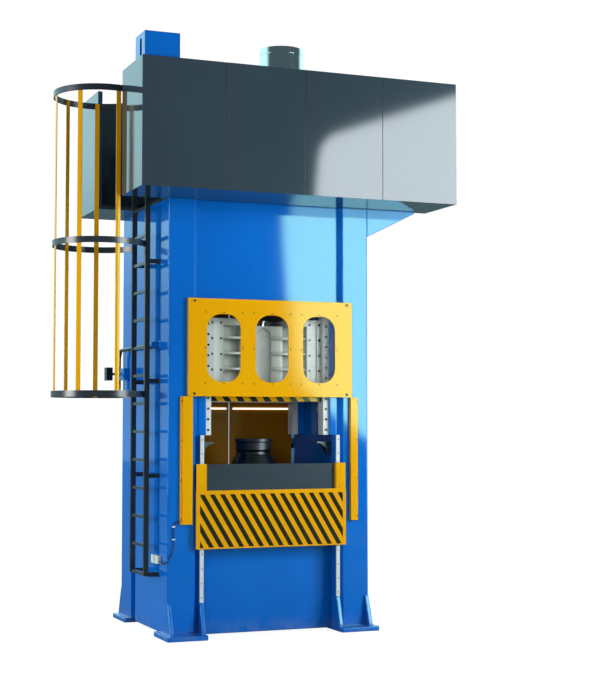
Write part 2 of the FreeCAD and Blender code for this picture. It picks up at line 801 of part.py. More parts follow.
def rear_door(side):
    """Folded rear door; its knuckles turn on the pins of the side frame."""
    x0, x1 = side * rear_door_gap, side * (hinge_x - hinge_r + 2.0)
    y0, y1 = rear_door_y, rear_door_y + rear_door_t
    z0, z1 = rear_door_bottom, rear_door_top
    t = rear_sheet
    shell = box(x0, x1, y0, y1, z0, z1)
    inside = box(x0 + side * t, x1 - side * t, y0 + t, y1, z0 + t, z1 - t)
    mid = (z0 + z1) / 2
    shell = shell.cut(inside.cut(box(x0, x1, y0, y1, mid - 20.0, mid + 20.0)))
    eye_x, eye_y = side * hinge_x, y1
    parts, clears = [shell], []
    for z in hinge_levels():
        clears.append(rod(eye_x, eye_y, z - hinge_half - 2.0, hinge_r + 1.0, 2 * hinge_half + 4.0))
        parts.append(box(x1 - side * 12.0, eye_x, y1 - 3.0, y1, z, z + hinge_half))
        parts.append(rod(eye_x, eye_y, z + sliding_gap, hinge_r, hinge_half - sliding_gap))
    body = join([shell.cut(clears)] + parts[1:])
    bores = [rod(eye_x, eye_y, z - hinge_half, pin_r + running_gap, 3 * hinge_half) for z in hinge_levels()]
    lower = [rod(eye_x, eye_y, z - hinge_half - 2.0, hinge_r + 1.0, hinge_half + 2.0) for z in hinge_levels()]
    return join([body.cut(bores + lower), rear_handle(side)])


def rear_hinges(side):
    """Hinge leaves with their lower knuckle and pin, fixed on the inner wall."""
    eye_x, eye_y = side * hinge_x, rear_door_y + rear_door_t
    shapes = []
    for z in hinge_levels():
        leaf = box(side * inner_x, side * (inner_x - 4.0), eye_y - 20.0, eye_y + 20.0,
                   z - hinge_half, z - 1.0)
        knuckle = rod(eye_x, eye_y, z - hinge_half, hinge_r, hinge_half)
        pin = rod(eye_x, eye_y, z - hinge_half, pin_r, 2 * hinge_half)
        neck = box(eye_x, side * inner_x, eye_y - 5.0, eye_y + 5.0, z - hinge_half, z - 1.0)
        shapes.append(join([leaf, knuckle, pin, neck]))
    return shapes


def light_bar(side):
    """Light bar across the inside of a rear door."""
    x0, x1 = side * 35.0, side * (hinge_x - hinge_r - 10.0)
    z = 2003.0
    bar = box(x0, x1, rear_door_y - 16.0, rear_door_y, z - 8.0, z + 8.0)

    def lengthwise(edge):
        a, b = edge.Vertexes[0].Point, edge.Vertexes[-1].Point
        return abs(a.x - b.x) > 1.0 and a.y < rear_door_y - 1.0
    return round_edges(bar, 6.0, lengthwise)


def rear_handle(side):
    """Bow handle on the outside of a rear door."""
    x = side * 60.0
    y0 = rear_door_y + 3.0
    z0 = (rear_door_bottom + rear_door_top) / 2 + 60.0
    grip = rod(x, y0 + 55.0, z0 - 11.0, 11.0, 182.0)
    legs = [rod(x, y0, z0 + dz, 9.0, 55.0, V(0, 1, 0)) for dz in (0.0, 160.0)]
    return join([grip] + legs)


# ---- crown ----------------------------------------------------------------------------
def crown_floor_plate():
    """Crown floor with a ladder hatch, a side notch and the cylinder hole."""
    s = crown_sheet
    plate = box(crown_left + s, crown_right - s, crown_front + s, crown_rear - s, frame_top, floor_top)
    hatch = box(crown_left, hatch_inner, opening_front, opening_rear, frame_top, floor_top)
    notch = box(outer_x + 150.0, crown_right, opening_front, opening_rear, frame_top, floor_top)
    hole = rod(0, axis_y, frame_top, barrel_flange_r + 10.0, crown_floor)
    return plate.cut([hatch, notch, hole])


def wall_pan(x0, x1, y0, y1, inward):
    """Crown wall sheet with returns all round; inward is 'x+', 'x-', 'y+' or 'y-'."""
    t, r = crown_sheet, crown_return
    z0, z1 = frame_top, crown_top
    if inward == "y+":
        outer, inner = (x0, x1, y0, y0 + r), (x0 + t, x1 - t, y0 + t, y0 + r)
    elif inward == "y-":
        outer, inner = (x0, x1, y1 - r, y1), (x0 + t, x1 - t, y1 - r, y1 - t)
    elif inward == "x+":
        outer, inner = (x0, x0 + r, y0, y1), (x0 + t, x0 + r, y0 + t, y1 - t)
    else:
        outer, inner = (x1 - r, x1, y0, y1), (x1 - r, x1 - t, y0 + t, y1 - t)
    pan = box(*outer, z0, z1).cut(box(*inner, z0, z1 - t))
    floor_cut = box(crown_left + t, crown_right - t, crown_front + t, crown_rear - t, z0, floor_top)
    return pan.cut(floor_cut)


def front_seams():
    """X of the edges of the four front panels."""
    width = (crown_right - crown_left) / 4
    return [crown_left + k * width for k in range(5)]


def crown_walls():
    """All wall panels of the crown by name."""
    g = panel_seam / 2
    walls = {}
    seams = front_seams()
    for k in range(4):
        x0 = seams[k] + (g if k > 0 else 0.0)
        x1 = seams[k + 1] - (g if k < 3 else 0.0)
        walls["crown_panel_front_%d" % (k + 1)] = wall_pan(x0, x1, crown_front, 0, "y+")
    mid = (crown_left + crown_right) / 2
    plain = [wall_pan(crown_left, mid - g, 0, crown_rear, "y-"),
             wall_pan(mid + g, crown_right, 0, crown_rear, "y-")]
    y0, y3 = crown_front + crown_return + g, crown_rear - crown_return - g
    for x0, x1, way in ((crown_left, 0, "x+"), (0, crown_right, "x-")):
        plain.append(wall_pan(x0, x1, y0, opening_front, way))
        plain.append(wall_pan(x0, x1, opening_rear, y3, way))
    walls["crown_panels_plain"] = plain
    return walls


def crown_posts():
    """Square posts that hold the wall panels, standing on the crown floor."""
    inset = crown_sheet
    p = post_size
    top = crown_top - crown_sheet
    posts = []
    for x in front_seams()[1:4]:
        posts.append((x - p / 2, crown_front + crown_return))
    for x in (crown_left + crown_return, crown_right - crown_return - p):
        posts.append((x, crown_front + crown_return))
        posts.append((x, crown_rear - crown_return - p))
    posts.append(((crown_left + crown_right) / 2 - p / 2, crown_rear - crown_return - p))
    for x in (crown_left + inset, crown_right - inset - p):
        posts.append((x, opening_front - inset - p))
        posts.append((x, opening_rear + inset))
    return [box(x, x + p, y, y + p, floor_top, top) for x, y in posts]


def crown_brackets():
    """Triangular plates that carry the crown's wide right-hand overhang."""
    x0, x1 = outer_x, outer_x + bracket_reach
    z1 = frame_top
    shapes = []
    for y in (front_y, groove_y - bracket_t):
        shapes.append(prism([(x0, y, z1), (x1, y, z1), (x1, y, z1 - 20.0), (x0, y, z1 - bracket_height)],
                            (0, bracket_t, 0)))
    return shapes


def vent_stack():
    """Polished steel stack with a foot flange, a top collar and a lid."""
    inner = stack_r - stack_wall - stack_collar
    body = ring(stack_x, stack_y, floor_top, inner, stack_r - stack_collar, stack_top - floor_top)
    flange = ring(stack_x, stack_y, floor_top, inner, stack_r + 40.0, 12.0)
    collar = ring(stack_x, stack_y, stack_top - 60.0, inner, stack_r, 60.0)
    lid = rod(stack_x, stack_y, stack_top - 6.0, inner, 6.0)
    return join([body, flange, collar, lid])


def cable_riser():
    """Blue sheet-metal riser in the crown's front left corner, slotted on its left."""
    t = crown_sheet
    x0 = crown_left + crown_return + 2.0
    y0 = crown_front + crown_return + post_size + 2.0
    x1, y1 = x0 + riser_width, y0 + riser_depth
    outer = box(x0, x1, y0, y1, floor_top, riser_top)
    inside = box(x0 + t, x1 - t, y0 + t, y1 - t, floor_top + t, riser_top - t)
    slot_y = y0 + riser_depth * 0.42
    arch_z = riser_top - 70.0
    slot = box(x0, x0 + t, slot_y - riser_slot_r, slot_y + riser_slot_r, crown_top - 200.0, arch_z)
    arch = rod(x0, slot_y, arch_z, riser_slot_r, t, V(1, 0, 0))
    return outer.cut([inside, slot, arch])


def tank_neck():
    """X and Y of the filler neck."""
    return tank_left + 140.0, crown_rear - tank_clear - tank_depth + 120.0


def oil_tank():
    """Sheet-metal oil tank on two feet, with a lid flange and a filler neck."""
    t = tank_sheet
    x0, x1 = tank_left, tank_left + tank_width
    y1 = crown_rear - tank_clear
    y0 = y1 - tank_depth
    z0, z1 = floor_top + tank_foot, floor_top + tank_foot + tank_height
    skin = box(x0, x1, y0, y1, z0, z1).cut(box(x0 + t, x1 - t, y0 + t, y1 - t, z0 + t, z1 - t))
    lid = box(x0 - 15, x1 + 15, y0 - 15, y1 + 15, z1, z1 + 10)
    feet = [box(x, x + 80, y0, y1, floor_top, z0) for x in (x0 + 60, x1 - 140)]
    x, y = tank_neck()
    tank = join([skin, lid, rod(x, y, z1, neck_r + 10.0, 70.0)] + feet)
    return tank.cut(rod(x, y, z1 - t, neck_r, 70.0 + t))


def tank_cap():
    """Filler cap, plugged into the tank's neck."""
    x, y = tank_neck()
    z = floor_top + tank_foot + tank_height + 70.0
    return join([rod(x, y, z, neck_r + 17.0, 34.0), rod(x, y, z - 40.0, neck_r - 0.5, 45.0)])


def pump_motor():
    """Finned electric motor on feet, with its shaft end bored for the coupling."""
    end = motor_x + motor_length
    parts = [rod(motor_x, motor_y, motor_z, motor_r, motor_length, V(1, 0, 0)),
             rod(motor_x - 90.0, motor_y, motor_z, motor_r + 14.0, 90.0, V(1, 0, 0))]
    fin_foot = motor_z + motor_r - 5.0
    for k in range(motor_fins):
        fin = box(motor_x + 20.0, end - 20.0, motor_y - 3.0, motor_y + 3.0, fin_foot, fin_foot + 23.0)
        fin.rotate(V(motor_x, motor_y, motor_z), V(1, 0, 0), 360.0 * k / motor_fins)
        parts.append(fin)
    for x in (motor_x + 60.0, end - 120.0):
        parts.append(box(x, x + 60.0, motor_y - 140.0, motor_y + 140.0, floor_top, motor_z - 100.0))
    lid_z = motor_z + motor_r - 10.0
    parts.append(box(motor_x + 180.0, motor_x + 320.0, motor_y - 70.0, motor_y + 70.0, lid_z, lid_z + 90.0))
    bore = rod(end - shaft_grip, motor_y, motor_z, shaft_r + running_gap, shaft_grip, V(1, 0, 0))
    return join(parts).cut(bore)


def pump_coupling():
    """Shaft and jaw coupling between the motor and the pump."""
    along = V(1, 0, 0)
    x0 = motor_x + motor_length
    reach = shaft_grip - 1.0
    hub = [rod(x0 - reach, motor_y, motor_z, shaft_r, coupling_length + 2 * reach, along),
           rod(x0 + 54.0, motor_y, motor_z, 52.0, 12.0, along)]
    for x in (x0 + 14.0, x0 + 66.0):
        hub.append(rod(x, motor_y, motor_z, 62.0, 40.0, along))
    bites = []
    for k in range(4):
        bite = box(x0 + 14.0, x0 + 106.0, motor_y - 9.0, motor_y + 9.0, motor_z + 50.0, motor_z + 70.0)
        bite.rotate(V(x0, motor_y, motor_z), along, 45.0 + 90.0 * k)
        bites.append(bite)
    return join(hub).cut(bites)


def hydraulic_pump():
    """Axial piston pump on a foot bracket, driven by the coupling."""
    along = V(1, 0, 0)
    x, y, z = pump_x, motor_y, motor_z
    parts = [rod(x, y, z, 130.0, 30.0, along), rod(x + 30.0, y, z, 95.0, 210.0, along),
             rod(x + 240.0, y, z, 70.0, 50.0, along),
             box(x + 60.0, x + 200.0, y - 110.0, y + 110.0, z - 60.0, z + 60.0),
             box(x, x + 30.0, y - 130.0, y + 130.0, floor_top, z)]
    return join(parts).cut(rod(x, y, z, shaft_r + running_gap, shaft_grip, along))


def valve_manifold():
    """Drilled block with a row of solenoid valves, on two legs."""
    x0, x1 = manifold_left, manifold_left + manifold_width
    y0 = axis_y - manifold_ahead
    y1 = y0 + manifold_depth
    z0, z1 = floor_top + manifold_leg, floor_top + manifold_leg + 220.0
    parts = [box(x0, x1, y0, y1, z0, z1)]
    parts += [box(x, x + 40.0, y0 + 20.0, y1 - 20.0, floor_top, z0) for x in (x0 + 40.0, x1 - 80.0)]
    for k in range(4):
        x = x0 + 30.0 + k * 135.0
        parts.append(box(x, x + 90.0, y0 + 30.0, y1 - 30.0, z1, z1 + 90.0))
        parts.append(rod(x + 45.0, y0 - 60.0, z1 + 45.0, 34.0, 320.0, V(0, 1, 0)))
    return join(parts)


# ---- ladder, cage and side fittings ---------------------------------------------------------
def ladder_stiles():
    """The ladder's two uprights, which rise through the crown's hatch."""
    z0 = ladder_bottom - rung_size / 2
    z1 = hoop_low + hoop_pitch * (hoop_count - 1) + hoop_tall / 2 + 20.0
    x0, x1 = ladder_x - stile_x / 2, ladder_x + stile_x / 2
    sides = [ladder_y + s * ladder_half for s in (-1, 1)]
    return [box(x0, x1, y - stile_y / 2, y + stile_y / 2, z0, z1) for y in sides]


def ladder_rungs():
    """Square rungs between the uprights' inner faces."""
    h = rung_size / 2
    reach = ladder_half - stile_y / 2
    levels = [ladder_bottom + k * rung_pitch for k in range(rung_count)]
    return [box(ladder_x - h, ladder_x + h, ladder_y - reach, ladder_y + reach, z - h, z + h) for z in levels]


def ladder_brackets():
    """Stand-off plates between the ladder's stiles and the side frame."""
    shapes = []
    x0, x1 = ladder_x + stile_x / 2, -outer_x
    for z in ladder_bracket_levels:
        for s in (-1, 1):
            y = ladder_y + s * ladder_half
            arm = box(x0, x1, y - 5.0, y + 5.0, z - 20.0, z + 20.0)
            pad = box(x1 - 8.0, x1, y - 32.0, y + 32.0, z - 20.0, z + 20.0)
            shapes.append(join([arm, pad]))
    return shapes


def cage_hoops():
    """Round flat-bar hoops from stile to stile."""
    hoops = []
    keep_x = ladder_x - stile_x / 2
    for k in range(hoop_count):
        z = hoop_low + k * hoop_pitch - hoop_tall / 2
        hoop = ring(hoop_centre_x, ladder_y, z, hoop_r - hoop_t, hoop_r, hoop_tall)
        y0, y1 = ladder_y - 2 * hoop_r, ladder_y + 2 * hoop_r
        behind = box(keep_x, keep_x + 2 * hoop_r, y0, y1, z, z + hoop_tall)
        hoops.append(hoop.cut(behind))
    return hoops


def cage_straps():
    """Upright bars inside the hoops, each bent to the hoops' curve."""
    straps = []
    z0 = hoop_low - hoop_tall / 2 + 4.0
    height = hoop_pitch * (hoop_count - 1) + hoop_tall - 8.0
    r1 = hoop_r - hoop_t - 0.2
    for angle in strap_angles:
        bar = ring(hoop_centre_x, ladder_y, z0, r1 - strap_t, r1, height)
        half = strap_width / 2
        slice_box = box(-r1 - 5.0, -r1 / 2, -half, half, z0, z0 + height)
        slice_box.rotate(V(0, 0, 0), V(0, 0, 1), angle)
        slice_box.translate(V(hoop_centre_x, ladder_y, 0))
        straps.append(bar.common(slice_box))
    return straps


def route_wire(points, share=0.45):
    """Straight runs joined by tangent arcs; prints each arc's radius."""
    pts = [V(*p) for p in points]
    edges, start = [], pts[0]
    for a, b, c in zip(pts, pts[1:], pts[2:]):
        u, w = (b - a), (c - b)
        run = min(u.Length, w.Length)
        u.normalize()
        w.normalize()
        turn = math.acos(max(-1.0, min(1.0, u.dot(w))))
        reach = share * run
        radius = reach / math.tan(turn / 2)
        print("   radius %.0f turn %.0f" % (radius, math.degrees(turn)))
        p, q = b - u * reach, b + w * reach
        inward = (w - u)
        inward.normalize()
        middle = b + inward * (radius / math.cos(turn / 2) - radius)
        edges.append(Part.LineSegment(start, p).toShape())
        edges.append(Part.Arc(p, middle, q).toShape())
        start = q
    edges.append(Part.LineSegment(start, pts[-1]).toShape())
    return Part.Wire(edges)


def tube(points, r):
    wire = route_wire(points)
    first = V(*points[1]) - V(*points[0])
    section = Part.Wire([Part.makeCircle(r, V(*points[0]), first)])
    swept = wire.makePipeShell([section], True, True)
    print("   length %.0f volume ratio %.4f" % (wire.Length, swept.Volume / (math.pi * r * r * wire.Length)))
    return swept


def air_pipe():
    """Black pipe along the side frame, turning down to the filter at the rear."""
    pts = [(pipe_x, pipe_front, pipe_z), (pipe_x, pipe_rear - 60.0, pipe_z),
           (pipe_x, pipe_rear, pipe_z - 60.0), (pipe_x, pipe_rear, pipe_low)]
    return tube(pts, pipe_r)


def pipe_port():
    """Square wall fitting from which the pipe starts."""
    return box(-outer_x, pipe_x - 26.0, pipe_front - 52.0, pipe_front, pipe_z - 26.0, pipe_z + 26.0)


def air_filter():
    """Black filter body held on the pipe by a nipple."""
    x0, x1 = pipe_x - 137.0, pipe_x - 71.0
    body = box(x0, x1, pipe_rear - 40.0, pipe_rear + 40.0, valve_z - filter_height / 2,
               valve_z + filter_height / 2)
    body = round_edges(body, 10.0, is_upright)
    nipple = rod(x1, pipe_rear, valve_z, 12.0, pipe_x - pipe_r - x1, V(1, 0, 0))
    return join([body, nipple])


def air_regulator():
    """Blue valve block on the side frame with a clamp round the pipe."""
    block = box(-outer_x - 58.0, -outer_x, pipe_rear - 180.0, pipe_rear - 60.0,
                valve_z - 62.0, valve_z + 50.0)
    block = round_edges(block, 8.0, is_upright)
    z0, z1 = valve_z - 40.0, valve_z - 20.0
    clamp = box(-outer_x, pipe_x - 22.0, pipe_rear - 24.0, pipe_rear + 24.0, z0, z1)
    clamp = clamp.fuse(box(-outer_x - 10.0, -outer_x, pipe_rear - 70.0, pipe_rear + 24.0, z0, z1))
    hole = rod(pipe_x, pipe_rear, valve_z - 45.0, pipe_r + 0.5, 40.0)
    return join([block, clamp]).cut(hole)


def junction_box():
    """White box on the side frame where the sensor cable ends."""
    x0, x1 = -outer_x - 38.0, -outer_x
    y0 = front_y + 175.0
    return round_edges(box(x0, x1, y0, y0 + 195.0, 635.0, 705.0), 6.0, is_upright)


def sensor_cable():
    """Thin cable from the left channel, through two clips, to the junction box."""
    return tube([(x - outer_x, y + front_y, z) for x, y, z in cable_route], cable_r)


def cable_clips():
    """White clips that hold the cable on the column face."""
    clips = []
    x, y = 53.5 - outer_x, front_y - 12.0
    for z in clip_levels:
        block = box(x - 12.0, x + 12.0, front_y - 20.0, front_y, z - 6.0, z + 6.0)
        hole = rod(x, y, z - 6.0, cable_r + 1.0, 12.0)
        clips.append(block.cut(hole))
    return clips


# ---- build ------------------------------------------------------------------------------------
def build():
    os.makedirs("parts", exist_ok=True)
    right = side_frame()
    export("right_side_frame", right)
    export("left_side_frame", join([mirror_x(right), pipe_port()]))
    export("feet", [foot(sx, sy) for sx in (-1, 1) for sy in (-1, 1)])
    export("bed", bed())
    export("bed_stands", bed_stands())
    export("bolster_plate", bolster())
    export("lower_die", lower_die())
    export("head_beam", head_beam())
    upper, lower, rear_upper, rear_lower = front_plates()
    export("front_plate_upper", upper)
    export("front_panel_lower", lower)
    export("rear_plates", [rear_upper, rear_lower])
    export("slide_body", slide_body())
    export("slide_guide_strips", slide_strips())
    export("slide_bolts", slide_bolts())
    export("slide_hazard_bar", hazard_bar())
    export("gibs", gibs())
    export("gib_brackets", gib_brackets())
    export("slide_stop_brackets", stop_brackets())
    export("main_cylinder", main_cylinder())
    export("cylinder_gland", cylinder_gland())
    export("piston_rod", piston_rod())
    export("window_guard", window_guard())
    export("window_panes", window_panes())
    export("guard_screws", guard_screws() + channel_screws() + gib_bolts())
    export("side_channels", [side_channel(-1, channel_left_width), side_channel(1, channel_right_width)])
    export("lift_rails", [lift_rail(-1), lift_rail(1)])
    export("door_sheet", door_sheet())
    export("door_stiles", [door_stile(-1), door_stile(1)])
    export("door_pane", door_pane())
    export("door_runners", door_runners())
    for side, name in ((-1, "left"), (1, "right")):
        export("rear_door_" + name, rear_door(side))
        export("light_bar_" + name, light_bar(side))
    export("rear_hinges", rear_hinges(-1) + rear_hinges(1))
    export("crown_floor", crown_floor_plate())
    for name, shape in crown_walls().items():
        export(name, shape)
    export("crown_posts", crown_posts())
    export("crown_brackets", crown_brackets())
    export("vent_stack", vent_stack())
    export("cable_riser", cable_riser())
    export("oil_tank", [oil_tank(), tank_cap()])
    export("pump_motor", pump_motor())
    export("pump_coupling", pump_coupling())
    export("hydraulic_pump", hydraulic_pump())
    export("valve_manifold", valve_manifold())
    export("ladder_stiles", ladder_stiles())
    export("ladder_rungs", ladder_rungs())
    export("ladder_brackets", ladder_brackets())
    export("cage_hoops", cage_hoops())
    export("cage_straps", cage_straps())
    export("air_pipe", [air_pipe(), air_filter()])
    export("air_regulator", air_regulator())
    export("junction_box", junction_box())
    export("sensor_cable", sensor_cable())
    export("cable_clips", cable_clips())


build()
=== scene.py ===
# %% [markdown]
# A hydraulic press, dressed for a studio picture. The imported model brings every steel
# piece at its true size; this lesson adds the paint, the bright metal, the glass, the
# screw heads with their sockets and the weld beads, then lights it all.
# Everything is in metres. Z points up, the press faces -Y, and X runs to its right.

# %% Load the press
import bmesh
import bpy
import json
import math
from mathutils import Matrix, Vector


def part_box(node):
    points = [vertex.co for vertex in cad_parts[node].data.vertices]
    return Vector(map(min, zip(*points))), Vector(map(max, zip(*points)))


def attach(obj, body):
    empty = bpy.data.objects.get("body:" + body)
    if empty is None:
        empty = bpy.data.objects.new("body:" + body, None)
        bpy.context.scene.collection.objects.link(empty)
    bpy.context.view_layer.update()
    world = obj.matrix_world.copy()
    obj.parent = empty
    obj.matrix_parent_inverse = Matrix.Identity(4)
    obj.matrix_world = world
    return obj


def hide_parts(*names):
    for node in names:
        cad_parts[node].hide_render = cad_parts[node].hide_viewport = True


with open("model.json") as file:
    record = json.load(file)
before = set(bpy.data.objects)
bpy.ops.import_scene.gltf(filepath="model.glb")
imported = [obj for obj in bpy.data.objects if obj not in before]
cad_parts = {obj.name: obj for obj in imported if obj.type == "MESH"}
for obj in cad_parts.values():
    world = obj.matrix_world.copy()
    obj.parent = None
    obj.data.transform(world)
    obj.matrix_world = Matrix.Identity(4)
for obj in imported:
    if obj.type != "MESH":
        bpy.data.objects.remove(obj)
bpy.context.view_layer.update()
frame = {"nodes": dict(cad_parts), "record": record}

nodes = frame["nodes"]

# %% [markdown]
# The camera comes first, because everything is judged through it. It stands far back on
# the left at eye height with a long lens, so that uprights stay nearly parallel, and it
# tips up a little. A camera looks down its own -Z, so a quarter turn about X levels it.

# %% Camera
eye = (-4.729, -13.067, 1.858)
turn_right, tip_up = 0.386, 0.057
camera_data = bpy.data.cameras.new("studio_camera")
camera_data.lens = 78.57
camera_data.sensor_width = 36.0
camera_data.shift_y = 0.0013
camera_data.clip_end = 200.0
camera = bpy.data.objects.new("studio_camera", camera_data)
camera.location = eye
camera.rotation_euler = (math.pi / 2 + tip_up, 0.0, -turn_right)
bpy.context.scene.collection.objects.link(camera)
bpy.context.scene.camera = camera
print("camera at", eye)

# %% [markdown]
# Paint colours are easiest to read as chart values from 0 to 255, but a renderer needs
# linear light. This helper turns one into the other. The plain view keeps the whites of
# the studio white and the enamel as strong as on the paint chart.

# %% Colour helper


def chart(red, green, blue):
    """Linear colour of a paint-chart value."""
    def linear(value):
        v = value / 255.0
        return v / 12.92 if v <= 0.04045 else ((v + 0.055) / 1.055) ** 2.4
    return (linear(red), linear(green), linear(blue), 1.0)


bpy.context.scene.view_settings.view_transform = "Standard"
print("press blue in linear light", [round(v, 3) for v in chart(6, 106, 204)])

# %% [markdown]
# Node trees are built by short calls. One helper adds a node and sets its plain values;
# another makes a shader node group with named sockets, so that an effect such as edge
# wear is written once and placed in every finish with its own numbers. The last one
# starts a finish and hands back its node tree and its main shader.

# %% Node helpers


def add(tree, kind, **values):
    """Add a node; a key with two underscores sets an input, such as in__Scale."""
    made = tree.nodes.new(kind)
    for key, value in values.items():
        if key.startswith("in__"):
            made.inputs[key[4:].replace("_", " ")].default_value = value
        else:
            setattr(made, key, value)
    return made


def wire(tree, start, end):
    """Link an output socket to an input socket."""
    tree.links.new(start, end)


def group(name, inputs, outputs):
    """An empty shader node group with its named sockets."""
    tree = bpy.data.node_groups.new(name, "ShaderNodeTree")
    for socket, kind, value in inputs:
        made = tree.interface.new_socket(name=socket, in_out="INPUT", socket_type=kind)
        if value is not None:
            made.default_value = value
    for socket, kind in outputs:
        tree.interface.new_socket(name=socket, in_out="OUTPUT", socket_type=kind)
    start = tree.nodes.new("NodeGroupInput")
    end = tree.nodes.new("NodeGroupOutput")
    return tree, start, end


def place(tree, made, **values):
    """Put a finished group into a material with its own numbers."""
    used = tree.nodes.new("ShaderNodeGroup")
    used.node_tree = made
    for key, value in values.items():
        used.inputs[key.replace("_", " ")].default_value = value
    return used


def blank_finish(name):
    """A new material with its node tree and its main shader."""
    made = bpy.data.materials.new(name)
    made.use_nodes = True
    return made, made.node_tree, made.node_tree.nodes["Principled BSDF"]


FLOAT, COLOUR, VECTOR = "NodeSocketFloat", "NodeSocketColor", "NodeSocketVector"
print("sockets", FLOAT, COLOUR, VECTOR)

# %% [markdown]
# Plates are cut and folded, so no real edge is a knife edge: it has a small radius that
# catches a line of light. Real rounding on every plate would cost many faces. The Bevel
# node rounds only the shading, and the same group lays the faint orange peel of sprayed
# enamel over it.

# %% Group: enamel skin
skin, begin, end = group("enamel_skin",
                         [("Radius", FLOAT, 0.003), ("Peel Size", FLOAT, 160.0),
                          ("Peel Height", FLOAT, 0.00002)],
                         [("Normal", VECTOR)])
rounding = add(skin, "ShaderNodeBevel", samples=4)
where = add(skin, "ShaderNodeTexCoord")
peel = add(skin, "ShaderNodeTexNoise", in__Detail=2.0)
relief = add(skin, "ShaderNodeBump", in__Strength=1.0)
wire(skin, begin.outputs["Radius"], rounding.inputs["Radius"])
wire(skin, where.outputs["Object"], peel.inputs["Vector"])
wire(skin, begin.outputs["Peel Size"], peel.inputs["Scale"])
wire(skin, peel.outputs["Fac"], relief.inputs["Height"])
wire(skin, begin.outputs["Peel Height"], relief.inputs["Distance"])
wire(skin, rounding.outputs["Normal"], relief.inputs["Normal"])
wire(skin, relief.outputs["Normal"], end.inputs["Normal"])
print("group", skin.name)

# %% [markdown]
# Where a rounded normal leaves the true one there is an edge, so the difference of the
# two is a mask of edges. Broken up with noise it becomes the thin rubbed line where
# slings and sleeves have touched the paint.

# %% Group: edge wear
wear, begin, end = group("edge_wear",
                         [("Width", FLOAT, 0.004), ("Amount", FLOAT, 0.5), ("Grain", FLOAT, 30.0)],
                         [("Mask", FLOAT)])
rounding = add(wear, "ShaderNodeBevel", samples=4)
true_face = add(wear, "ShaderNodeNewGeometry")
likeness = add(wear, "ShaderNodeVectorMath", operation="DOT_PRODUCT")
edge = add(wear, "ShaderNodeMapRange", in__From_Min=0.99, in__From_Max=0.80)
where = add(wear, "ShaderNodeTexCoord")
patches = add(wear, "ShaderNodeTexNoise", in__Detail=6.0, in__Roughness=0.65)
broken = add(wear, "ShaderNodeMapRange", in__From_Min=0.52, in__From_Max=0.68)
both = add(wear, "ShaderNodeMath", operation="MULTIPLY")
scaled = add(wear, "ShaderNodeMath", operation="MULTIPLY")
wire(wear, begin.outputs["Width"], rounding.inputs["Radius"])
wire(wear, rounding.outputs["Normal"], likeness.inputs[0])
wire(wear, true_face.outputs["True Normal"], likeness.inputs[1])
wire(wear, likeness.outputs["Value"], edge.inputs["Value"])
wire(wear, where.outputs["Object"], patches.inputs["Vector"])
wire(wear, begin.outputs["Grain"], patches.inputs["Scale"])
wire(wear, patches.outputs["Fac"], broken.inputs["Value"])
wire(wear, edge.outputs["Result"], both.inputs[0])
wire(wear, broken.outputs["Result"], both.inputs[1])
wire(wear, both.outputs["Value"], scaled.inputs[0])
wire(wear, begin.outputs["Amount"], scaled.inputs[1])
wire(wear, scaled.outputs["Value"], end.inputs["Mask"])
print("group", wear.name)

# %% [markdown]
# No sprayed panel is one flat colour. A slow drift of tone from coat thickness, a metre
# or two across, and a finer mottle keep large plates alive without being noticed.

# %% Group: tone drift
drift, begin, end = group("tone_drift",
                          [("Colour", COLOUR, (0.5, 0.5, 0.5, 1.0)), ("Deep", COLOUR, (0.4, 0.4, 0.4, 1.0)),
                           ("Size", FLOAT, 0.7)],
                          [("Colour", COLOUR), ("Cloud", FLOAT)])
where = add(drift, "ShaderNodeTexCoord")
cloud = add(drift, "ShaderNodeTexNoise", in__Detail=4.0, in__Roughness=0.55)
spread = add(drift, "ShaderNodeMapRange", in__From_Min=0.32, in__From_Max=0.68)
blend = add(drift, "ShaderNodeMix", data_type="RGBA")
wire(drift, where.outputs["Object"], cloud.inputs["Vector"])
wire(drift, begin.outputs["Size"], cloud.inputs["Scale"])
wire(drift, cloud.outputs["Fac"], spread.inputs["Value"])
wire(drift, spread.outputs["Result"], blend.inputs["Factor"])
wire(drift, begin.outputs["Colour"], blend.inputs[6])
wire(drift, begin.outputs["Deep"], blend.inputs[7])
wire(drift, blend.outputs[2], end.inputs["Colour"])
wire(drift, spread.outputs["Result"], end.inputs["Cloud"])
print("group", drift.name)

# %% [markdown]
# Dust settles on faces that look up, and floor dirt creeps up the lowest 16 centimetres.
# The face's own direction and its height give both masks, and noise breaks them up.

# %% Group: settled dust
dust, begin, end = group("settled_dust",
                         [("Amount", FLOAT, 0.3), ("Floor Dirt", FLOAT, 0.2)],
                         [("Mask", FLOAT)])
where = add(dust, "ShaderNodeTexCoord")
face = add(dust, "ShaderNodeNewGeometry")
way = add(dust, "ShaderNodeSeparateXYZ")
height = add(dust, "ShaderNodeSeparateXYZ")
upward = add(dust, "ShaderNodeMapRange", in__From_Min=0.6, in__From_Max=1.0)
low = add(dust, "ShaderNodeMapRange", in__From_Min=0.16, in__From_Max=0.0)
speck = add(dust, "ShaderNodeTexNoise", in__Scale=9.0, in__Detail=8.0, in__Roughness=0.6)
patchy = add(dust, "ShaderNodeMapRange", in__From_Min=0.35, in__From_Max=0.70)
top_dust = add(dust, "ShaderNodeMath", operation="MULTIPLY")
floor_dirt = add(dust, "ShaderNodeMath", operation="MULTIPLY")
total = add(dust, "ShaderNodeMath", operation="ADD")
mottled = add(dust, "ShaderNodeMath", operation="MULTIPLY", use_clamp=True)
wire(dust, face.outputs["Normal"], way.inputs[0])
wire(dust, where.outputs["Object"], height.inputs[0])
wire(dust, where.outputs["Object"], speck.inputs["Vector"])
wire(dust, way.outputs["Z"], upward.inputs["Value"])
wire(dust, height.outputs["Z"], low.inputs["Value"])
wire(dust, speck.outputs["Fac"], patchy.inputs["Value"])
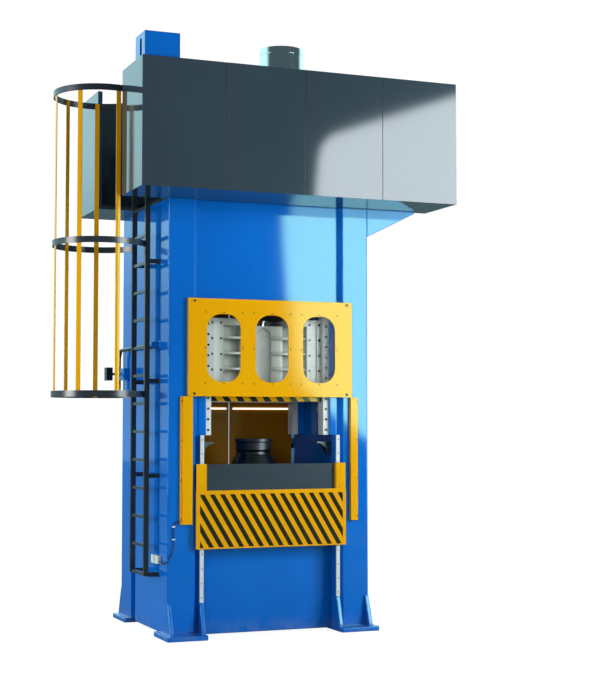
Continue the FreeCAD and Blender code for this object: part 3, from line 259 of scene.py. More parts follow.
wire(dust, upward.outputs["Result"], top_dust.inputs[0])
wire(dust, begin.outputs["Amount"], top_dust.inputs[1])
wire(dust, low.outputs["Result"], floor_dirt.inputs[0])
wire(dust, begin.outputs["Floor Dirt"], floor_dirt.inputs[1])
wire(dust, top_dust.outputs["Value"], total.inputs[0])
wire(dust, floor_dirt.outputs["Value"], total.inputs[1])
wire(dust, total.outputs["Value"], mottled.inputs[0])
wire(dust, patchy.outputs["Result"], mottled.inputs[1])
wire(dust, mottled.outputs["Value"], end.inputs["Mask"])
print("group", dust.name)

# %% [markdown]
# The hazard stripes are masked paint: equal bands of black and yellow that lean. A band
# is a sawtooth of a slanted coordinate, cut at one half. A plain border is left at the
# sheet's ends, where the masking stopped, and the paint's edge is a little ragged.

# %% Group: hazard stripes
stripes, begin, end = group("hazard_stripes",
                            [("Pitch", FLOAT, 0.095), ("Lean", FLOAT, 0.62), ("Start", FLOAT, 0.0),
                             ("Half Width", FLOAT, 0.66), ("Low", FLOAT, 0.79), ("High", FLOAT, 1.25),
                             ("Front", FLOAT, -1.0)],
                            [("Mask", FLOAT)])
where = add(stripes, "ShaderNodeTexCoord")
place_xyz = add(stripes, "ShaderNodeSeparateXYZ")
wobble = add(stripes, "ShaderNodeTexNoise", in__Scale=90.0, in__Detail=3.0)
ragged_by = 0.0016
black_share = 0.5
fuzz = add(stripes, "ShaderNodeMath", operation="MULTIPLY_ADD")
fuzz.inputs[1].default_value = ragged_by
slanted = add(stripes, "ShaderNodeMath", operation="MULTIPLY_ADD")
moved = add(stripes, "ShaderNodeMath", operation="ADD")
turns = add(stripes, "ShaderNodeMath", operation="DIVIDE")
part = add(stripes, "ShaderNodeMath", operation="FRACT")
band = add(stripes, "ShaderNodeMath", operation="LESS_THAN")
band.inputs[1].default_value = black_share
side = add(stripes, "ShaderNodeMath", operation="ABSOLUTE")
inside_x = add(stripes, "ShaderNodeMath", operation="LESS_THAN")
above = add(stripes, "ShaderNodeMath", operation="GREATER_THAN")
below = add(stripes, "ShaderNodeMath", operation="LESS_THAN")
ahead = add(stripes, "ShaderNodeMath", operation="LESS_THAN")
wire(stripes, where.outputs["Object"], place_xyz.inputs[0])
wire(stripes, where.outputs["Object"], wobble.inputs["Vector"])
wire(stripes, wobble.outputs["Fac"], fuzz.inputs[0])
wire(stripes, place_xyz.outputs["X"], fuzz.inputs[2])
wire(stripes, place_xyz.outputs["Z"], slanted.inputs[0])
wire(stripes, begin.outputs["Lean"], slanted.inputs[1])
wire(stripes, fuzz.outputs["Value"], slanted.inputs[2])
wire(stripes, slanted.outputs["Value"], moved.inputs[0])
wire(stripes, begin.outputs["Start"], moved.inputs[1])
wire(stripes, moved.outputs["Value"], turns.inputs[0])
wire(stripes, begin.outputs["Pitch"], turns.inputs[1])
wire(stripes, turns.outputs["Value"], part.inputs[0])
wire(stripes, part.outputs["Value"], band.inputs[0])
wire(stripes, place_xyz.outputs["X"], side.inputs[0])
wire(stripes, side.outputs["Value"], inside_x.inputs[0])
wire(stripes, begin.outputs["Half Width"], inside_x.inputs[1])
wire(stripes, place_xyz.outputs["Z"], above.inputs[0])
wire(stripes, begin.outputs["Low"], above.inputs[1])
wire(stripes, place_xyz.outputs["Z"], below.inputs[0])
wire(stripes, begin.outputs["High"], below.inputs[1])
wire(stripes, place_xyz.outputs["Y"], ahead.inputs[0])
wire(stripes, begin.outputs["Front"], ahead.inputs[1])
last = band.outputs["Value"]
for limit in (inside_x, above, below, ahead):
    keep = add(stripes, "ShaderNodeMath", operation="MULTIPLY")
    wire(stripes, last, keep.inputs[0])
    wire(stripes, limit.outputs["Value"], keep.inputs[1])
    last = keep.outputs["Value"]
wire(stripes, last, end.inputs["Mask"])
print("group", stripes.name)

# %% [markdown]
# Metal keeps the marks of how it was made: long scratches from a belt or grinder, and
# rings from a lathe. Stretching the coordinates of a noise along one axis draws the
# first, and noise over the distance from the turning axis draws the second.

# %% Group: tool marks
marks, begin, end = group("tool_marks",
                          [("Stretch", VECTOR, (260.0, 260.0, 3.0)), ("Centre", VECTOR, (0.0, 0.0, 0.0)),
                           ("Ring Pitch", FLOAT, 900.0), ("Rings", FLOAT, 0.0)],
                          [("Grain", FLOAT)])
where = add(marks, "ShaderNodeTexCoord")
long_way = add(marks, "ShaderNodeVectorMath", operation="MULTIPLY")
scratches = add(marks, "ShaderNodeTexNoise", in__Scale=1.0, in__Detail=5.0, in__Roughness=0.7)
from_axis = add(marks, "ShaderNodeVectorMath", operation="SUBTRACT")
flat = add(marks, "ShaderNodeVectorMath", operation="MULTIPLY")
drop_height = (1.0, 1.0, 0.0)
flat.inputs[1].default_value = drop_height
radius = add(marks, "ShaderNodeVectorMath", operation="LENGTH")
rings = add(marks, "ShaderNodeTexNoise", noise_dimensions="1D", in__Detail=4.0, in__Roughness=0.7)
choose = add(marks, "ShaderNodeMix", data_type="FLOAT")
wire(marks, where.outputs["Object"], long_way.inputs[0])
wire(marks, begin.outputs["Stretch"], long_way.inputs[1])
wire(marks, long_way.outputs["Vector"], scratches.inputs["Vector"])
wire(marks, where.outputs["Object"], from_axis.inputs[0])
wire(marks, begin.outputs["Centre"], from_axis.inputs[1])
wire(marks, from_axis.outputs["Vector"], flat.inputs[0])
wire(marks, flat.outputs["Vector"], radius.inputs[0])
wire(marks, radius.outputs["Value"], rings.inputs["W"])
wire(marks, begin.outputs["Ring Pitch"], rings.inputs["Scale"])
wire(marks, begin.outputs["Rings"], choose.inputs["Factor"])
wire(marks, scratches.outputs["Fac"], choose.inputs[2])
wire(marks, rings.outputs["Fac"], choose.inputs[3])
wire(marks, choose.outputs[0], end.inputs["Grain"])
print("group", marks.name)

# %% [markdown]
# Enamel is one coat of coloured gloss paint. The recipe is the same for every painted
# piece: tone drift, a rubbed edge, dust, then a little change of gloss with the same
# cloud. Only the colours and the amounts differ, so one function mixes all the paints.

# %% Enamel recipe
dust_colour = (168, 162, 150)
dulled_by_dust = 0.5


def enamel(name, colour, deep, gloss=0.08, rubbed=(150, 158, 165), radius=0.003, ior=1.6,
           sheen=(1.0, 1.0, 1.0)):
    """Gloss paint over steel; gloss is its roughness and sheen tints what it mirrors."""
    made, tree, shader = blank_finish(name)
    shader.inputs["IOR"].default_value = ior
    shader.inputs["Specular Tint"].default_value = (*sheen, 1.0)
    tone = place(tree, drift, Colour=chart(*colour), Deep=chart(*deep))
    edges = place(tree, wear, Amount=0.35)
    settled = place(tree, dust, Amount=0.10)
    normal = place(tree, skin, Radius=radius, Peel_Height=0.000012)
    rubbed_mix = add(tree, "ShaderNodeMix", data_type="RGBA")
    rubbed_mix.inputs[7].default_value = chart(*rubbed)
    dusty_mix = add(tree, "ShaderNodeMix", data_type="RGBA")
    dusty_mix.inputs[7].default_value = chart(*dust_colour)
    shine = add(tree, "ShaderNodeMapRange", in__To_Min=gloss * 0.85, in__To_Max=gloss * 1.25)
    dulled = add(tree, "ShaderNodeMath", operation="MULTIPLY_ADD")
    dulled.inputs[1].default_value = dulled_by_dust
    wire(tree, tone.outputs["Colour"], rubbed_mix.inputs[6])
    wire(tree, edges.outputs["Mask"], rubbed_mix.inputs["Factor"])
    wire(tree, rubbed_mix.outputs[2], dusty_mix.inputs[6])
    wire(tree, settled.outputs["Mask"], dusty_mix.inputs["Factor"])
    wire(tree, dusty_mix.outputs[2], shader.inputs["Base Color"])
    wire(tree, tone.outputs["Cloud"], shine.inputs["Value"])
    wire(tree, settled.outputs["Mask"], dulled.inputs[0])
    wire(tree, shine.outputs["Result"], dulled.inputs[2])
    wire(tree, dulled.outputs["Value"], shader.inputs["Roughness"])
    wire(tree, normal.outputs["Normal"], shader.inputs["Normal"])
    return made


print("dust", [round(v, 3) for v in chart(*dust_colour)])

# %% [markdown]
# The slide and its guides are white, and between their ribs the white is painted grey:
# a painted shade where the ribs close in. Ambient Occlusion measures how much a point is
# closed in, and its answer mixes a grey into whatever colour the finish already has.

# %% Painted crevice shade


def paint_crevice_shade(made, shade, reach):
    """Paint a grey shade into a finish where surfaces close in on each other, within reach."""
    tree = made.node_tree
    shader = tree.nodes["Principled BSDF"]
    closed_in = add(tree, "ShaderNodeAmbientOcclusion", samples=8, in__Distance=reach)
    depth = add(tree, "ShaderNodeMapRange", in__From_Min=0.15, in__From_Max=0.75,
                in__To_Min=0.85, in__To_Max=0.0)
    shade_mix = add(tree, "ShaderNodeMix", data_type="RGBA")
    shade_mix.inputs[7].default_value = chart(*shade)
    under = shader.inputs["Base Color"].links[0].from_socket
    wire(tree, under, shade_mix.inputs[6])
    wire(tree, closed_in.outputs["AO"], depth.inputs["Value"])
    wire(tree, depth.outputs["Result"], shade_mix.inputs["Factor"])
    wire(tree, shade_mix.outputs[2], shader.inputs["Base Color"])


slide_shade, guide_shade = (60, 62, 60), (40, 42, 42)
print("shades", slide_shade, guide_shade)

# %% [markdown]
# Now the paints themselves. The blue has a wide edge radius, because thick plates are
# ground round before they are sprayed. What the blue mirrors is tinted green, and what
# the guards mirror yellow-green, so that neither colour is washed out by the room.

# %% Mix the paints
finishes = {
    "frame_blue": enamel("press_blue_enamel", (6, 106, 204), (4, 94, 186), gloss=0.055, radius=0.018,
                         sheen=(0.55, 1.08, 0.8)),
    "guard_yellow": enamel("guard_yellow_enamel", (238, 168, 2), (230, 158, 1), gloss=0.08, ior=1.5,
                           sheen=(0.5, 0.8, 0.36)),
    "crown_grey": enamel("crown_slate_enamel", (54, 66, 75), (48, 60, 69), gloss=0.055,
                         rubbed=(120, 126, 130)),
    "ladder_slate": enamel("ladder_slate_enamel", (42, 48, 54), (34, 40, 46), gloss=0.24, radius=0.002),
    "slide_white": enamel("slide_white_enamel", (232, 237, 229), (222, 227, 219), gloss=0.3, ior=1.4),
    "guide_white": enamel("guide_white_enamel", (216, 220, 216), (204, 208, 204), gloss=0.34, ior=1.4),
}
# The grey between the slide's and the guides' ribs is painted shade.
paint_crevice_shade(finishes["slide_white"], slide_shade, reach=0.09)
paint_crevice_shade(finishes["guide_white"], guide_shade, reach=0.05)
print("enamels", sorted(finishes))

# %% [markdown]
# The lift door's sheet and the bar on the slide carry the stripes. Their finish is the
# same enamel with one more mix: black paint where the stripe group says so. The border
# is measured from the sheet's own box, so it follows the sheet. The bar is striped all
# over, so its limits are set past its ends. The rear doors' browner enamel is painted
# shade: it is the guard yellow made darker for the press's shadow they stand in.

# %% Striped finishes


def striped(name, **pattern):
    """Yellow enamel with black masked stripes over it."""
    soot_black = (34, 30, 24)
    made = enamel(name, (234, 164, 3), (226, 154, 2), gloss=0.12, ior=1.5, sheen=(0.5, 0.8, 0.36))
    tree = made.node_tree
    shader = tree.nodes["Principled BSDF"]
    bands = place(tree, stripes, **pattern)
    painted_over = add(tree, "ShaderNodeMix", data_type="RGBA")
    painted_over.inputs[7].default_value = chart(*soot_black)
    under = shader.inputs["Base Color"].links[0].from_socket
    wire(tree, under, painted_over.inputs[6])
    wire(tree, bands.outputs["Mask"], painted_over.inputs["Factor"])
    wire(tree, painted_over.outputs[2], shader.inputs["Base Color"])
    return made


# The rear doors' brown is the guard yellow with painted shade, for the press's shadow.
shaded_rear_yellow = enamel("rear_door_shaded_yellow", (150, 98, 10), (134, 84, 8), gloss=0.2, ior=1.4,
                    sheen=(0.6, 0.5, 0.3))
sheet_low, sheet_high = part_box("door_sheet")
bar_low, bar_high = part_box("slide_hazard_bar")
side_border, bottom_border, top_border = 0.030, 0.012, 0.034
skin_depth = 0.002
well_past = 1.0
door_stripes = striped("door_striped_enamel", Pitch=0.0932, Lean=0.60, Start=0.03,
                       Half_Width=sheet_high.x - side_border, Low=sheet_low.z + bottom_border,
                       High=sheet_high.z - top_border, Front=sheet_low.y + skin_depth)
bar_stripes = striped("bar_striped_enamel", Pitch=0.128, Lean=0.75, Start=0.0,
                      Half_Width=bar_high.x + well_past, Low=bar_low.z - well_past,
                      High=bar_high.z + well_past, Front=bar_high.y + well_past)
print("striped", door_stripes.name, bar_stripes.name, "and", shaded_rear_yellow.name)

# %% [markdown]
# Bare metal is a metallic shader whose roughness and relief follow the tool marks. The
# stack is rolled from polished sheet, so its grain runs round it; the ram is ground and
# chromed; bolsters, dies and barrels are dark, oiled machine steel.

# %% Bare metals


def metal(name, colour, rough, spread, stretch=(260.0, 260.0, 3.0), centre=(0.0, 0.0, 0.0), rings=0.0,
          relief=0.00003, tarnish=None):
    """Machined steel; rough is its mean roughness and spread how much the marks change it."""
    made, tree, shader = blank_finish(name)
    shader.inputs["Metallic"].default_value = 1.0
    tool = place(tree, marks, Stretch=stretch, Centre=centre, Rings=rings)
    tone = place(tree, drift, Colour=chart(*colour), Deep=chart(*(tarnish or colour)), Size=3.0)
    edge_normal = place(tree, skin, Radius=0.002, Peel_Height=0.0)
    rougher = add(tree, "ShaderNodeMapRange", in__From_Min=0.3, in__From_Max=0.7,
                  in__To_Min=rough - spread, in__To_Max=rough + spread)
    bump = add(tree, "ShaderNodeBump", in__Strength=1.0, in__Distance=relief)
    wire(tree, tone.outputs["Colour"], shader.inputs["Base Color"])
    wire(tree, tool.outputs["Grain"], rougher.inputs["Value"])
    wire(tree, rougher.outputs["Result"], shader.inputs["Roughness"])
    wire(tree, tool.outputs["Grain"], bump.inputs["Height"])
    wire(tree, edge_normal.outputs["Normal"], bump.inputs["Normal"])
    wire(tree, bump.outputs["Normal"], shader.inputs["Normal"])
    return made


die_low, die_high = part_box("lower_die")
die_centre = (die_low + die_high) / 2
die_steel = metal("die_turned_steel", (84, 88, 92), 0.34, 0.10, centre=tuple(die_centre), rings=1.0,
                  tarnish=(62, 64, 66))
finishes["tool_steel"] = metal("machine_steel", (98, 102, 106), 0.36, 0.10, stretch=(8.0, 220.0, 220.0),
                               tarnish=(70, 72, 74))
finishes["hard_chrome"] = metal("hard_chrome", (205, 208, 212), 0.10, 0.04)
finishes["polished_steel"] = metal("polished_stack_steel", (204, 210, 216), 0.06, 0.03,
                                   stretch=(3.0, 3.0, 420.0), relief=0.000004)
print("metals", die_steel.name, "and", len(finishes), "finishes in all")

# %% [markdown]
# Screws are black oxide, the air pipe and the cable's jacket are satin black, and the
# motor is cast iron under a thick hammered coat. They are small, so grain and gloss do
# the work.

# %% Dark and cast finishes


def dark(name, colour, deep, rough, metallic=0.0, grain=400.0, relief=0.00004, size=4.0):
    """Satin dark surface with a fine grain, such as rubber, black oxide or cast paint."""
    made, tree, shader = blank_finish(name)
    shader.inputs["Metallic"].default_value = metallic
    tone = place(tree, drift, Colour=chart(*colour), Deep=chart(*deep), Size=size)
    normal = place(tree, skin, Radius=0.0015, Peel_Size=grain, Peel_Height=relief)
    shine = add(tree, "ShaderNodeMapRange", in__To_Min=rough * 0.85, in__To_Max=rough * 1.2)
    wire(tree, tone.outputs["Colour"], shader.inputs["Base Color"])
    wire(tree, tone.outputs["Cloud"], shine.inputs["Value"])
    wire(tree, shine.outputs["Result"], shader.inputs["Roughness"])
    wire(tree, normal.outputs["Normal"], shader.inputs["Normal"])
    return made


finishes["black_screws"] = dark("black_oxide", (30, 30, 32), (20, 20, 22), 0.34, metallic=0.6, size=40.0)
finishes["black_pipe"] = dark("black_rubber_and_pipe", (26, 28, 32), (18, 20, 24), 0.30, grain=700.0)
finishes["motor_grey"] = dark("hammered_motor_coat", (96, 104, 110), (80, 88, 94), 0.36, grain=120.0,
                              relief=0.0004)
print("finishes", len(finishes))

# %% [markdown]
# The windows are thin clear sheets. A thin sheet needs no bending of light, so a mostly
# transparent, low-alpha gloss reads right from both sides. The lift door's pane is a
# smoked, nearly opaque sheet: dark plastic with a hard gloss.

# %% Glass and smoked sheet
clear, tree, shader = blank_finish("clear_window_sheet")
smears = place(tree, drift, Size=5.0)
haze = add(tree, "ShaderNodeMapRange", in__To_Min=0.02, in__To_Max=0.07)
film = add(tree, "ShaderNodeMapRange", in__To_Min=0.05, in__To_Max=0.09)
shader.inputs["Base Color"].default_value = (0.01, 0.015, 0.015, 1.0)
wire(tree, smears.outputs["Cloud"], haze.inputs["Value"])
wire(tree, haze.outputs["Result"], shader.inputs["Roughness"])
wire(tree, smears.outputs["Cloud"], film.inputs["Value"])
wire(tree, film.outputs["Result"], shader.inputs["Alpha"])
finishes["door_glass"] = clear

smoked, tree, shader = blank_finish("smoked_door_sheet")
tone = place(tree, drift, Colour=chart(56, 68, 76), Deep=chart(48, 58, 66), Size=1.2)
haze = add(tree, "ShaderNodeMapRange", in__To_Min=0.12, in__To_Max=0.18)
wire(tree, tone.outputs["Colour"], shader.inputs["Base Color"])
wire(tree, tone.outputs["Cloud"], haze.inputs["Value"])
wire(tree, haze.outputs["Result"], shader.inputs["Roughness"])
finishes["smoked_sheet"] = smoked
print("sheets", clear.name, smoked.name)

# %% [markdown]
# The rear doors carry light bars: a milky cover that glows a little brighter than paper.

# %% Light bar finish
glow, tree, shader = blank_finish("light_bar_diffuser")
tone = place(tree, drift, Colour=(1.0, 0.93, 0.80, 1.0), Deep=(0.95, 0.86, 0.70, 1.0), Size=6.0)
wire(tree, tone.outputs["Colour"], shader.inputs["Base Color"])
wire(tree, tone.outputs["Colour"], shader.inputs["Emission Color"])
shader.inputs["Emission Strength"].default_value = 1.6
shader.inputs["Roughness"].default_value = 0.3
print("light bar", glow.name)

# %% [markdown]
# Every steel piece now gets its finish by the slot that the record gives it. A few pieces
# have a finish of their own: the striped sheets, the turned die, the light bars and the
# rear doors, whose yellow is painted darker and browner as the shade they stand in.

# %% Dress the steel pieces
own_finish = {"door_sheet": door_stripes, "slide_hazard_bar": bar_stripes, "lower_die": die_steel,
              "light_bar_left": glow, "light_bar_right": glow,
              "rear_door_left": shaded_rear_yellow, "rear_door_right": shaded_rear_yellow}
for subpart in frame["record"]["subparts"]:
    name = subpart["node"]
    finish = own_finish.get(name) or finishes[subpart["material_slot"]]
    for holder in nodes[name].material_slots:
        holder.material = finish
print("dressed", len(nodes), "pieces")

# %% [markdown]
# The screws are hex-socket cap screws. The steel model carries each as a plain disc,
# enough to weigh and to place it. The discs are found as the separate islands of the
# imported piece, so the heads that take their place follow if the pattern changes. A
# disc's two flat ends are islands too, as they share no point with its rim, and they are
# passed over because they have no thickness.

# %% Find the screws


def discs(name):
    """Centre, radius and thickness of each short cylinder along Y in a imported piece."""
    thinnest = 0.001
    shape = bmesh.new()
    shape.from_mesh(nodes[name].data)
    found, met = [], set()
    for first in shape.verts:
        if first.index in met:
            continue
        met.add(first.index)
        waiting, island = [first], []
        while waiting:
            point = waiting.pop()
            island.append(point.co.copy())
            for edge_of in point.link_edges:
                other = edge_of.other_vert(point)
                if other.index not in met:
                    met.add(other.index)
                    waiting.append(other)
        low = [min(p[k] for p in island) for k in range(3)]
        high = [max(p[k] for p in island) for k in range(3)]
        if high[1] - low[1] > thinnest:
            middle = [round((a + b) / 2, 4) for a, b in zip(low, high)]
            found.append((tuple(middle), round((high[0] - low[0]) / 2, 4), round(high[1] - low[1], 4)))
    shape.free()
    return sorted(found)


print("guard discs", len(discs("guard_screws")), "slide discs", len(discs("slide_bolts")))

# %% [markdown]
# A cap-screw head is a short barrel with a narrow chamfer and a six-sided pocket for the
# key. A circle is drawn out twice, the second time a little smaller for the chamfer; a
# hexagon is bridged to its rim and pushed back in. Everything is a share of the radius
# or the height, so one function models every size.

# %% Model a socket head
rim_sides, key_sides = 24, 6


def pick(piece, test):
    """In edit mode, select the points that pass a test of their place."""
    bpy.ops.mesh.select_all(action="DESELECT")
    shape = bmesh.from_edit_mesh(piece.data)
    for point in shape.verts:
        point.select = test(point.co)
    shape.select_flush(True)
    bmesh.update_edit_mesh(piece.data)


def socket_head(radius, height):
    """A cap-screw head at the origin: its seat at y = 0 and its socket facing -Y."""
    barrel, chamfer, face = 0.8, 0.2, 0.88
    pocket, pocket_depth = 0.5, 0.65
    near_face, near_pocket, same_place = 0.9, 0.6, 1e-6
    bpy.ops.object.select_all(action="DESELECT")
    bpy.ops.mesh.primitive_circle_add(vertices=rim_sides, radius=radius,
                                      rotation=(math.pi / 2, 0.0, 0.0))
    head = bpy.context.object
    bpy.ops.object.transform_apply(location=True, rotation=True, scale=True)
    bpy.ops.object.mode_set(mode="EDIT")
    bpy.ops.mesh.select_all(action="SELECT")
    bpy.ops.mesh.extrude_region_move(TRANSFORM_OT_translate={"value": (0.0, -barrel * height, 0.0)})
    bpy.ops.mesh.extrude_region_move(TRANSFORM_OT_translate={"value": (0.0, -chamfer * height, 0.0)})
    bpy.ops.transform.resize(value=(face, 1.0, face), center_override=(0.0, 0.0, 0.0))
    bpy.ops.mesh.primitive_circle_add(vertices=key_sides, radius=pocket * radius,
                                      location=(0.0, -height, 0.0),
                                      rotation=(math.pi / 2, 0.0, 0.0))
    pick(head, lambda co: co.y < -near_face * height)
    bpy.ops.mesh.bridge_edge_loops()
    pick(head, lambda co: co.y < -near_face * height and co.xz.length < near_pocket * radius)
    bpy.ops.mesh.extrude_region_move(TRANSFORM_OT_translate={"value": (0.0, pocket_depth * height, 0.0)})
    bpy.ops.mesh.edge_face_add()
    pick(head, lambda co: abs(co.y) < same_place)
    bpy.ops.mesh.edge_face_add()
    bpy.ops.mesh.select_all(action="SELECT")
    bpy.ops.mesh.remove_doubles(threshold=same_place)
    bpy.ops.mesh.normals_make_consistent(inside=False)
    bpy.ops.object.mode_set(mode="OBJECT")
    return head


print("socket heads have", rim_sides, "sides and a pocket with", key_sides)

# %% [markdown]
# Each size of head is modelled once and copied to its discs, with the seat on the disc's
# own seat. The shanks in the guard plate are found as discs too and get a copy that stays
# hidden behind its head. The bolts on the slide's rear look the other way, so a disc past
# a given depth has its copy turned round. The copies of a node are joined into one piece
# that stands in for the plain one, and it rides with the frame or with the slide.

# %% Socket heads


def heads_on(node, name, back):
    """Heads on every disc of a node, as one piece; discs past back in Y face the rear."""
    patterns, copies = {}, []
    for middle, radius, height in discs(node):
        size = (round(radius, 3), round(height, 3))
        if size not in patterns:
            patterns[size] = socket_head(radius, height)
        copied = patterns[size].copy()
        copied.data = patterns[size].data.copy()
        bpy.context.scene.collection.objects.link(copied)
        turned = middle[1] > back
        copied.rotation_euler = (0.0, 0.0, math.pi if turned else 0.0)
        seat = middle[1] - height / 2 if turned else middle[1] + height / 2
        copied.location = (middle[0], seat, middle[2])
        copies.append(copied)
    bpy.ops.object.select_all(action="DESELECT")
    for copied in copies:
        copied.select_set(True)
    bpy.context.view_layer.objects.active = copies[0]
    bpy.ops.object.join()
    joined = bpy.context.object
    bpy.ops.object.transform_apply(location=True, rotation=True, scale=True)
    for pattern in patterns.values():
        bpy.data.objects.remove(pattern)
    joined.name = name
    joined.data.materials.append(finishes["black_screws"])
    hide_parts(node)
    return joined, len(patterns)


behind_all, within_slide = 10.0, 0.0
guard_heads, sizes_used = heads_on("guard_screws", "guard_socket_heads", back=behind_all)
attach(guard_heads, "frame")
slide_heads, more_sizes = heads_on("slide_bolts", "slide_socket_heads", back=within_slide)
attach(slide_heads, "slide")
print("socket heads in", sizes_used, "and", more_sizes, "sizes")

# %% [markdown]
# The columns are welded to their foot plates. A fillet bead is a row of overlapping
# ripples, so it is modelled as a low ridge along the joint: a long thin bar, drawn out in
# short lengths, with every second ring drawn in. It is centred on the joint's corner, so
# a quarter of it shows and the rest is sunk in the steel.

# %% Weld beads


def bead(name, start, end):
    """A rippled weld bead from start to end, centred on the joint's corner."""
    leg, ripple, waist = 0.007, 0.012, 0.86
    start, end = Vector(start), Vector(end)
    length = (end - start).length
    bpy.ops.object.select_all(action="DESELECT")
    bpy.ops.mesh.primitive_circle_add(vertices=10, radius=leg)
    made = bpy.context.object
    steps = max(8, int(length / ripple))
    bpy.ops.object.mode_set(mode="EDIT")
    bpy.ops.mesh.select_all(action="SELECT")
    bpy.ops.mesh.edge_face_add()
    for _ in range(steps):
        bpy.ops.mesh.extrude_region_move(TRANSFORM_OT_translate={"value": (0.0, 0.0, length / steps)})
    pick(made, lambda co: round(co.z * steps / length) % 2 == 0)
    bpy.ops.transform.resize(value=(waist, waist, 1.0), center_override=(0.0, 0.0, 0.0))
    bpy.ops.object.mode_set(mode="OBJECT")
    made.name = name
    made.rotation_euler = (end - start).to_track_quat("Z", "Y").to_euler()
    made.location = start
    bpy.ops.object.transform_apply(location=True, rotation=True, scale=True)
    bpy.ops.object.mode_set(mode="EDIT")
    bpy.ops.mesh.select_all(action="SELECT")
    bpy.ops.mesh.normals_make_consistent(inside=False)
    bpy.ops.object.mode_set(mode="OBJECT")
    bpy.ops.object.select_all(action="DESELECT")
    made.select_set(True)
    bpy.context.view_layer.objects.active = made
    bpy.ops.object.shade_smooth_by_angle(angle=0.9)
    made.data.materials.append(finishes["frame_blue"])
    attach(made, "frame")
    return made


side_low, side_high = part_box("right_side_frame")
plate_top, run = 0.04, 0.24
beads = []
for side, word in ((-1.0, "left"), (1.0, "right")):
    inner, outer = side * side_low.x, side * side_high.x
    for end_word, corner_y, run_end in (("front", side_low.y, side_low.y + run),
                                        ("rear", side_high.y, side_high.y - run)):
        corner = (outer, corner_y, plate_top)
        beads.append(bead("weld_%s_%s_across" % (word, end_word), (inner, corner_y, plate_top), corner))
        beads.append(bead("weld_%s_%s_along" % (word, end_word), corner, (outer, run_end, plate_top)))
print("weld beads", len(beads))

# %% [markdown]
# The studio is a floor, a surround, one big soft light and two fills. The floor looks
# nearly white to the camera, but it gives little light back, because a bright floor would
# wash out the lower half of the paint. Its own glow is for camera rays alone.

# %% Floor
floor_radius, floor_shown = 60.0, 0.90
bpy.ops.object.select_all(action="DESELECT")
bpy.ops.mesh.primitive_circle_add(vertices=96, radius=floor_radius, fill_type="NGON",
                                  location=(0.0, 0.0, 0.0))
floor = bpy.context.object
floor.name = "studio_floor"
pale, tree, shader = blank_finish("pale_floor")
shader.inputs["Base Color"].default_value = (0.19, 0.21, 0.22, 1.0)
shader.inputs["Roughness"].default_value = 0.9
shader.inputs["Specular IOR Level"].default_value = 0.1
shader.inputs["Emission Color"].default_value = (1.0, 1.0, 1.0, 1.0)
seen = add(tree, "ShaderNodeLightPath")
lift = add(tree, "ShaderNodeMath", operation="MULTIPLY")
lift.inputs[1].default_value = floor_shown
wire(tree, seen.outputs["Is Camera Ray"], lift.inputs[0])
wire(tree, lift.outputs["Value"], shader.inputs["Emission Strength"])
floor.data.materials.append(pale)
print("floor", floor.name)

# %% [markdown]
# Gloss paint shows what stands in front of it. The surround is dim and bluish in front of
# the press, which keeps the paint deep in colour, and bright behind it, which lights the
# edges; the higher it goes, the brighter it gets. Only the camera sees it plain white.

# %% Surround
front_dim, low_behind, high_behind = 0.15, 0.6, 1.75
camera_white = 1.05
bluish, plain_white = (0.58, 0.93, 1.0, 1.0), (1.0, 1.0, 1.0, 1.0)
world = bpy.data.worlds.new("studio_surround")
bpy.context.scene.world = world
world.use_nodes = True
tree = world.node_tree
background = tree.nodes["Background"]
where = add(tree, "ShaderNodeTexCoord")
way = add(tree, "ShaderNodeSeparateXYZ")
behind = add(tree, "ShaderNodeMapRange", in__From_Min=-0.15, in__From_Max=0.35,
             interpolation_type="SMOOTHSTEP")
above = add(tree, "ShaderNodeMapRange", in__From_Min=0.06, in__From_Max=0.19,
            in__To_Min=low_behind, in__To_Max=high_behind, interpolation_type="SMOOTHSTEP")
dim = add(tree, "ShaderNodeMapRange", in__To_Min=front_dim)
seen = add(tree, "ShaderNodeLightPath")
white = add(tree, "ShaderNodeMix", data_type="FLOAT")
white.inputs[3].default_value = camera_white
tint = add(tree, "ShaderNodeMix", data_type="RGBA")
tint.inputs[6].default_value = bluish
tint.inputs[7].default_value = plain_white
wire(tree, where.outputs["Generated"], way.inputs[0])
wire(tree, way.outputs["Y"], behind.inputs["Value"])
wire(tree, way.outputs["Z"], above.inputs["Value"])
wire(tree, behind.outputs["Result"], dim.inputs["Value"])
wire(tree, above.outputs["Result"], dim.inputs["To Max"])
wire(tree, seen.outputs["Is Camera Ray"], white.inputs["Factor"])
wire(tree, seen.outputs["Is Camera Ray"], tint.inputs["Factor"])
wire(tree, dim.outputs["Result"], white.inputs[2])
wire(tree, white.outputs[0], background.inputs["Strength"])
wire(tree, tint.outputs[2], background.inputs["Color"])
print("surround", world.name)

# %% [markdown]
# The bright field on the right half of the press is the mirror image of one soft light.
# Its outline is chosen in X and Z so that the image has slanting edges, and a bevel
# rounds the corners. An inset gives it a rim, and an attribute fades the glow out towards
# that rim. The camera doesn't see the light itself.

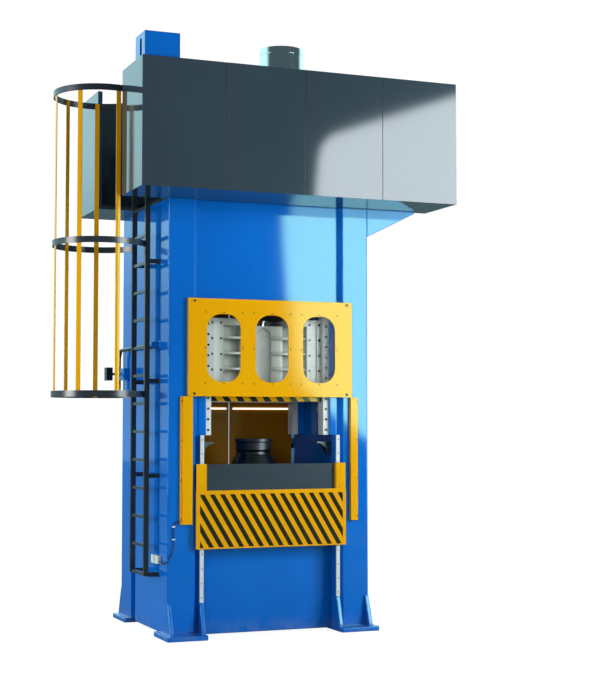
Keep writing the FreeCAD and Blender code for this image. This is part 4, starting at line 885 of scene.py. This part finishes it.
# %% Soft light
cloth_y, corner_radius, rim_width, cloth_power = -8.0, 0.28, 0.12, 10.5
corners = [(3.03, 5.80), (3.9, 6.12), (9.2, 8.05), (9.2, 0.05), (6.45, 0.05), (3.10, 2.40), (2.93, 4.90)]
outline = bpy.data.meshes.new("soft_light")
outline.from_pydata([(x, cloth_y, z) for x, z in corners], [], [range(len(corners))])
softbox = bpy.data.objects.new("soft_light", outline)
bpy.context.scene.collection.objects.link(softbox)
bpy.ops.object.select_all(action="DESELECT")
softbox.select_set(True)
bpy.context.view_layer.objects.active = softbox
bpy.ops.object.mode_set(mode="EDIT")
bpy.ops.mesh.select_all(action="SELECT")
bpy.ops.mesh.bevel(offset=corner_radius, segments=8, affect="VERTICES")
bpy.ops.mesh.select_all(action="SELECT")
bpy.ops.mesh.inset(thickness=rim_width)
bpy.ops.object.mode_set(mode="OBJECT")
fade = outline.attributes.new("glow", "FLOAT", "POINT")
rim = set()
for border in outline.edges:
    faces = [each for each in outline.polygons if border.key in each.edge_keys]
    if len(faces) == 1:
        rim.update(border.key)
fade.data.foreach_set("value", [0.0 if v.index in rim else 1.0 for v in outline.vertices])
lamp, tree, shader = blank_finish("soft_light_cloth")
tree.nodes.remove(shader)
cloth = add(tree, "ShaderNodeEmission", in__Color=(0.86, 0.96, 1.0, 1.0))
fading = add(tree, "ShaderNodeAttribute", attribute_name="glow")
power = add(tree, "ShaderNodeMath", operation="MULTIPLY")
power.inputs[1].default_value = cloth_power
wire(tree, fading.outputs["Fac"], power.inputs[0])
wire(tree, power.outputs["Value"], cloth.inputs["Strength"])
wire(tree, cloth.outputs["Emission"], tree.nodes["Material Output"].inputs["Surface"])
outline.materials.append(lamp)
softbox.visible_camera = False
print("soft light", len(outline.vertices), "points")

# %% [markdown]
# Two fills lift the shadows. The front one stands by the camera and reaches through the
# windows to the slide; it is hidden from mirror reflections, so it fills the paint's
# body colour and leaves its gloss alone. The side one stands far out on the left and is
# left visible to the gloss: it draws the thin bright lines down the rounded corners.

# %% Fill lights
aim = Vector((0.0, -0.7, 2.4))
for name, power_w, stand, mirrored in (("front_fill", 480.0, (-6.5, -13.0, 3.5), False),
                                       ("side_fill", 1350.0, (-16.0, -1.0, 3.5), True)):
    fill_data = bpy.data.lights.new(name, "AREA")
    fill_data.shape = "SQUARE"
    fill_data.size = 6.0
    fill_data.energy = power_w
    fill = bpy.data.objects.new(name, fill_data)
    fill.location = stand
    fill.rotation_euler = (aim - fill.location).to_track_quat("-Z", "Y").to_euler()
    fill.visible_glossy = mirrored
    fill.visible_camera = False
    bpy.context.scene.collection.objects.link(fill)
    print(name, power_w, "W")
